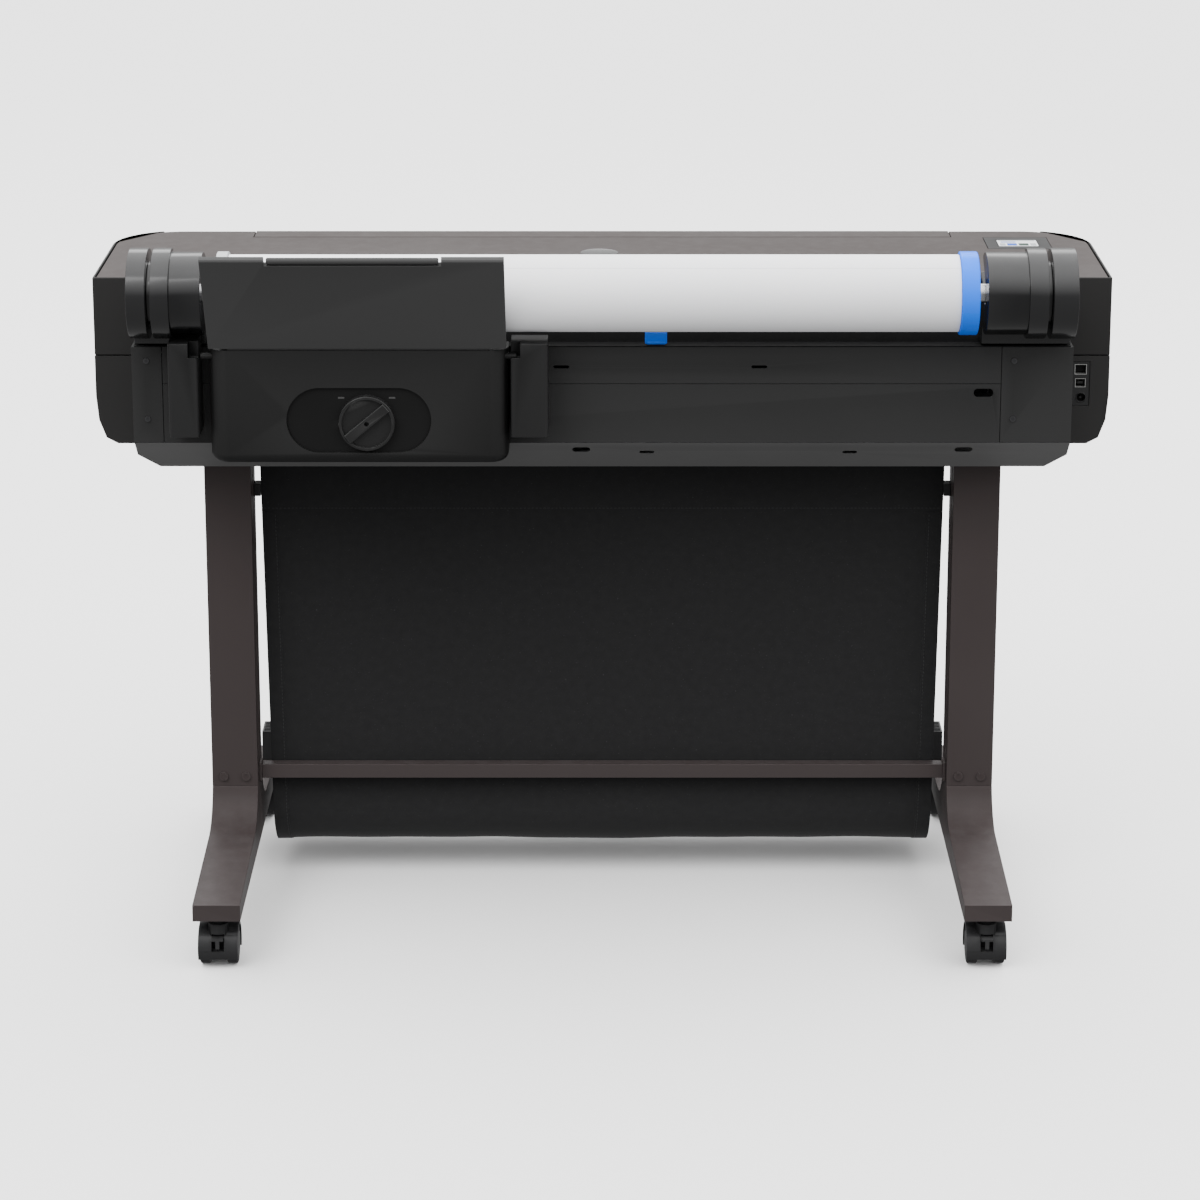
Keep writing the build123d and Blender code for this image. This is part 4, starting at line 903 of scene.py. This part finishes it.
seam_angle = math.radians(128)
bpy.ops.mesh.primitive_cylinder_add(vertices=240, radius=roll_radius + 0.0002, depth=roll_length - 0.0010,
                                    location=roll_middle,
                                    rotation=(0, math.radians(90), 0), end_fill_type="NOTHING")
flap = bpy.context.object
flap.name = "paper_outer_turn"
bpy.ops.object.transform_apply(location=True, rotation=True, scale=True)
flap_shape = bmesh.new()
flap_shape.from_mesh(flap.data)
spare = []
for face in flap_shape.faces:
    middle = face.calc_center_median() - roll_middle
    turn = math.atan2(middle.z, middle.y) % (2 * math.pi)
    if not seam_angle - 0.9 < turn < seam_angle:
        spare.append(face)
bmesh.ops.delete(flap_shape, geom=spare, context="FACES")
flap_shape.to_mesh(flap.data)
flap_shape.free()
flap.data.materials.append(sheet_paper)
bpy.ops.object.shade_smooth_by_angle(angle=math.radians(40))
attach(flap, "spindle")
flap.select_set(False)

steel_paint = coated("turned_steel", (0.50, 0.50, 0.51), 0.26, grain=2600, depth=0.04, metallic=1.0,
                     edge=0.1)
stop_paint = coated("grey_stop", (0.42, 0.43, 0.44), 0.38, grain=1600, depth=0.08, edge=0.2)
blue_paint = coated("blue_stop", (0.002, 0.150, 0.92), 0.30, grain=1600, depth=0.06, edge=0.3)
gear_paint = coated("gear_nylon", (0.55, 0.55, 0.53), 0.40, grain=1700, depth=0.08, edge=0.1)
softened("spindle_bar", 0.0010, steel_paint)
softened("left_stop", 0.0008, stop_paint)
softened("right_stop", 0.0008, blue_paint)
softened("spindle_gear", 0.0, gear_paint)
softened("drive_pinion", 0.0, gear_paint)


# ------------------------------------------------------------------ sheet feeder
# A removable feeder for cut sheets hangs on two steel pins in open-mouthed posts. Its housing and leaning
# tray are matt black mouldings, a flat extension slides out of the tray, and a knob turns its clamp.
housing_paint = coated("feeder_moulding", (0.0075, 0.0075, 0.0075), 0.43, grain=1300, depth=0.16,
                       dust=0.08, edge=0.4)
tray_paint = coated("tray_moulding", (0.0360, 0.0360, 0.0360), 0.46, grain=1300, depth=0.16, dust=0.08,
                    edge=0.4)
knob_paint = coated("knob_moulding", (0.012, 0.012, 0.012), 0.26, grain=1800, depth=0.06, edge=0.6,
                    coat=0.2)
softened("feeder_housing", 0.0007, housing_paint)
softened("feeder_tray", 0.0008, tray_paint, segments=3)
softened("tray_extension", 0.0007, tray_paint)
softened("feeder_knob", 0.0009, knob_paint, segments=3)
knob_low, knob_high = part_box("feeder_knob")
for side in (-1, 1):
    mark_x = (knob_low.x + knob_high.x) / 2 + side * 0.032
    mark_z = (knob_low.z + knob_high.z) / 2 + 0.0315
    bpy.ops.mesh.primitive_cube_add(size=1, location=(mark_x, -0.2102, mark_z))
    mark = bpy.context.object
    mark.name = f"knob_mark_{'left' if side < 0 else 'right'}"
    mark.scale = (0.008, 0.0006, 0.0022)
    bpy.ops.object.transform_apply(location=True, rotation=True, scale=True)
    mark.data.materials.append(tray_paint)
    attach(mark, "feeder")
    mark.select_set(False)


# ------------------------------------------------------------------ port block
# A black moulded block in the notch of the right end holds the network socket, the service socket and the
# round power inlet.
port_paint = coated("port_moulding", (0.007, 0.007, 0.0073), 0.40, grain=1500, depth=0.10, edge=0.5)
softened("port_block", 0.0004, port_paint)
port_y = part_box("port_block")[0].y
tin_paint = coated("port_tin", (0.45, 0.45, 0.44), 0.30, grain=2600, depth=0.05, metallic=0.9, edge=0.1)


def port_liner(name, x0, x1, z0, z1, wall):
    """The thin tinned shell just inside a socket's mouth."""
    shape = bmesh.new()
    outer = [(x0, z0), (x1, z0), (x1, z1), (x0, z1)]
    inner = [(x0 + wall, z0 + wall), (x1 - wall, z0 + wall), (x1 - wall, z1 - wall), (x0 + wall, z1 - wall)]
    rings = []
    for y, ring in ((port_y + 0.0002, outer), (port_y + 0.0002, inner), (port_y + 0.0080, inner),
                    (port_y + 0.0080, outer)):
        rings.append([shape.verts.new((x, y, z)) for x, z in ring])
    for one, two in zip(rings, rings[1:] + rings[:1]):
        for index in range(4):
            after = (index + 1) % 4
            shape.faces.new((one[index], one[after], two[after], two[index]))
    bmesh.ops.recalc_face_normals(shape, faces=shape.faces)
    mesh = bpy.data.meshes.new(name)
    shape.to_mesh(mesh)
    shape.free()
    mesh.materials.append(tin_paint)
    liner = bpy.data.objects.new(name, mesh)
    bpy.context.scene.collection.objects.link(liner)
    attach(liner, "root")


port_liner("network_liner", 0.6122, 0.6278, 0.7282, 0.7418, 0.0007)
port_liner("service_liner", 0.6132, 0.6268, 0.7112, 0.7228, 0.0006)
bpy.ops.mesh.primitive_torus_add(major_segments=48, minor_segments=10, major_radius=0.0062,
                                 minor_radius=0.0006,
                                 location=(0.621, port_y, 0.6975), rotation=(math.radians(90), 0, 0))
collar = bpy.context.object
collar.name = "power_inlet_collar"
bpy.ops.object.transform_apply(location=True, rotation=True, scale=True)
collar.data.materials.append(port_paint)
bpy.ops.object.shade_smooth_by_angle(angle=math.radians(60))
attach(collar, "root")
collar.select_set(False)


# ------------------------------------------------------------------ print mechanism
# Behind the window a steel frame holds the rail. A moulded carriage runs on it, pulled by a toothed belt
# round two pulleys, over a ribbed platen. A rubber feed roller and small pinch rollers move the sheet.
frame_paint = coated("zinc_sheet", (0.42, 0.42, 0.43), 0.32, grain=1700, depth=0.05, metallic=0.95,
                     edge=0.1)
platen_paint = coated("platen_moulding", (0.008, 0.008, 0.0083), 0.38, grain=1500, depth=0.10, edge=0.4)
carriage_paint = coated("carriage_moulding", (0.012, 0.012, 0.0125), 0.36, grain=1500, depth=0.10, edge=0.4)
rubber_paint = coated("feed_rubber", (0.014, 0.014, 0.014), 0.66, grain=800, depth=0.20, edge=0.1)
ink_paint = coated("cartridge_shell", (0.050, 0.050, 0.054), 0.24, grain=1600, depth=0.05, edge=0.3)
softened("carriage_frame", 0.0005, frame_paint)
softened("platen", 0.0005, platen_paint)
softened("carriage", 0.0012, carriage_paint)
softened("feed_roller", 0.0, rubber_paint)
softened("pinch_rollers", 0.0, rubber_paint)
softened("carriage_belt", 0.0, rubber_paint)
softened("drive_pulley", 0.0003, gear_paint)
softened("idler_pulley", 0.0003, gear_paint)
softened("ink_cartridges", 0.0010, ink_paint)
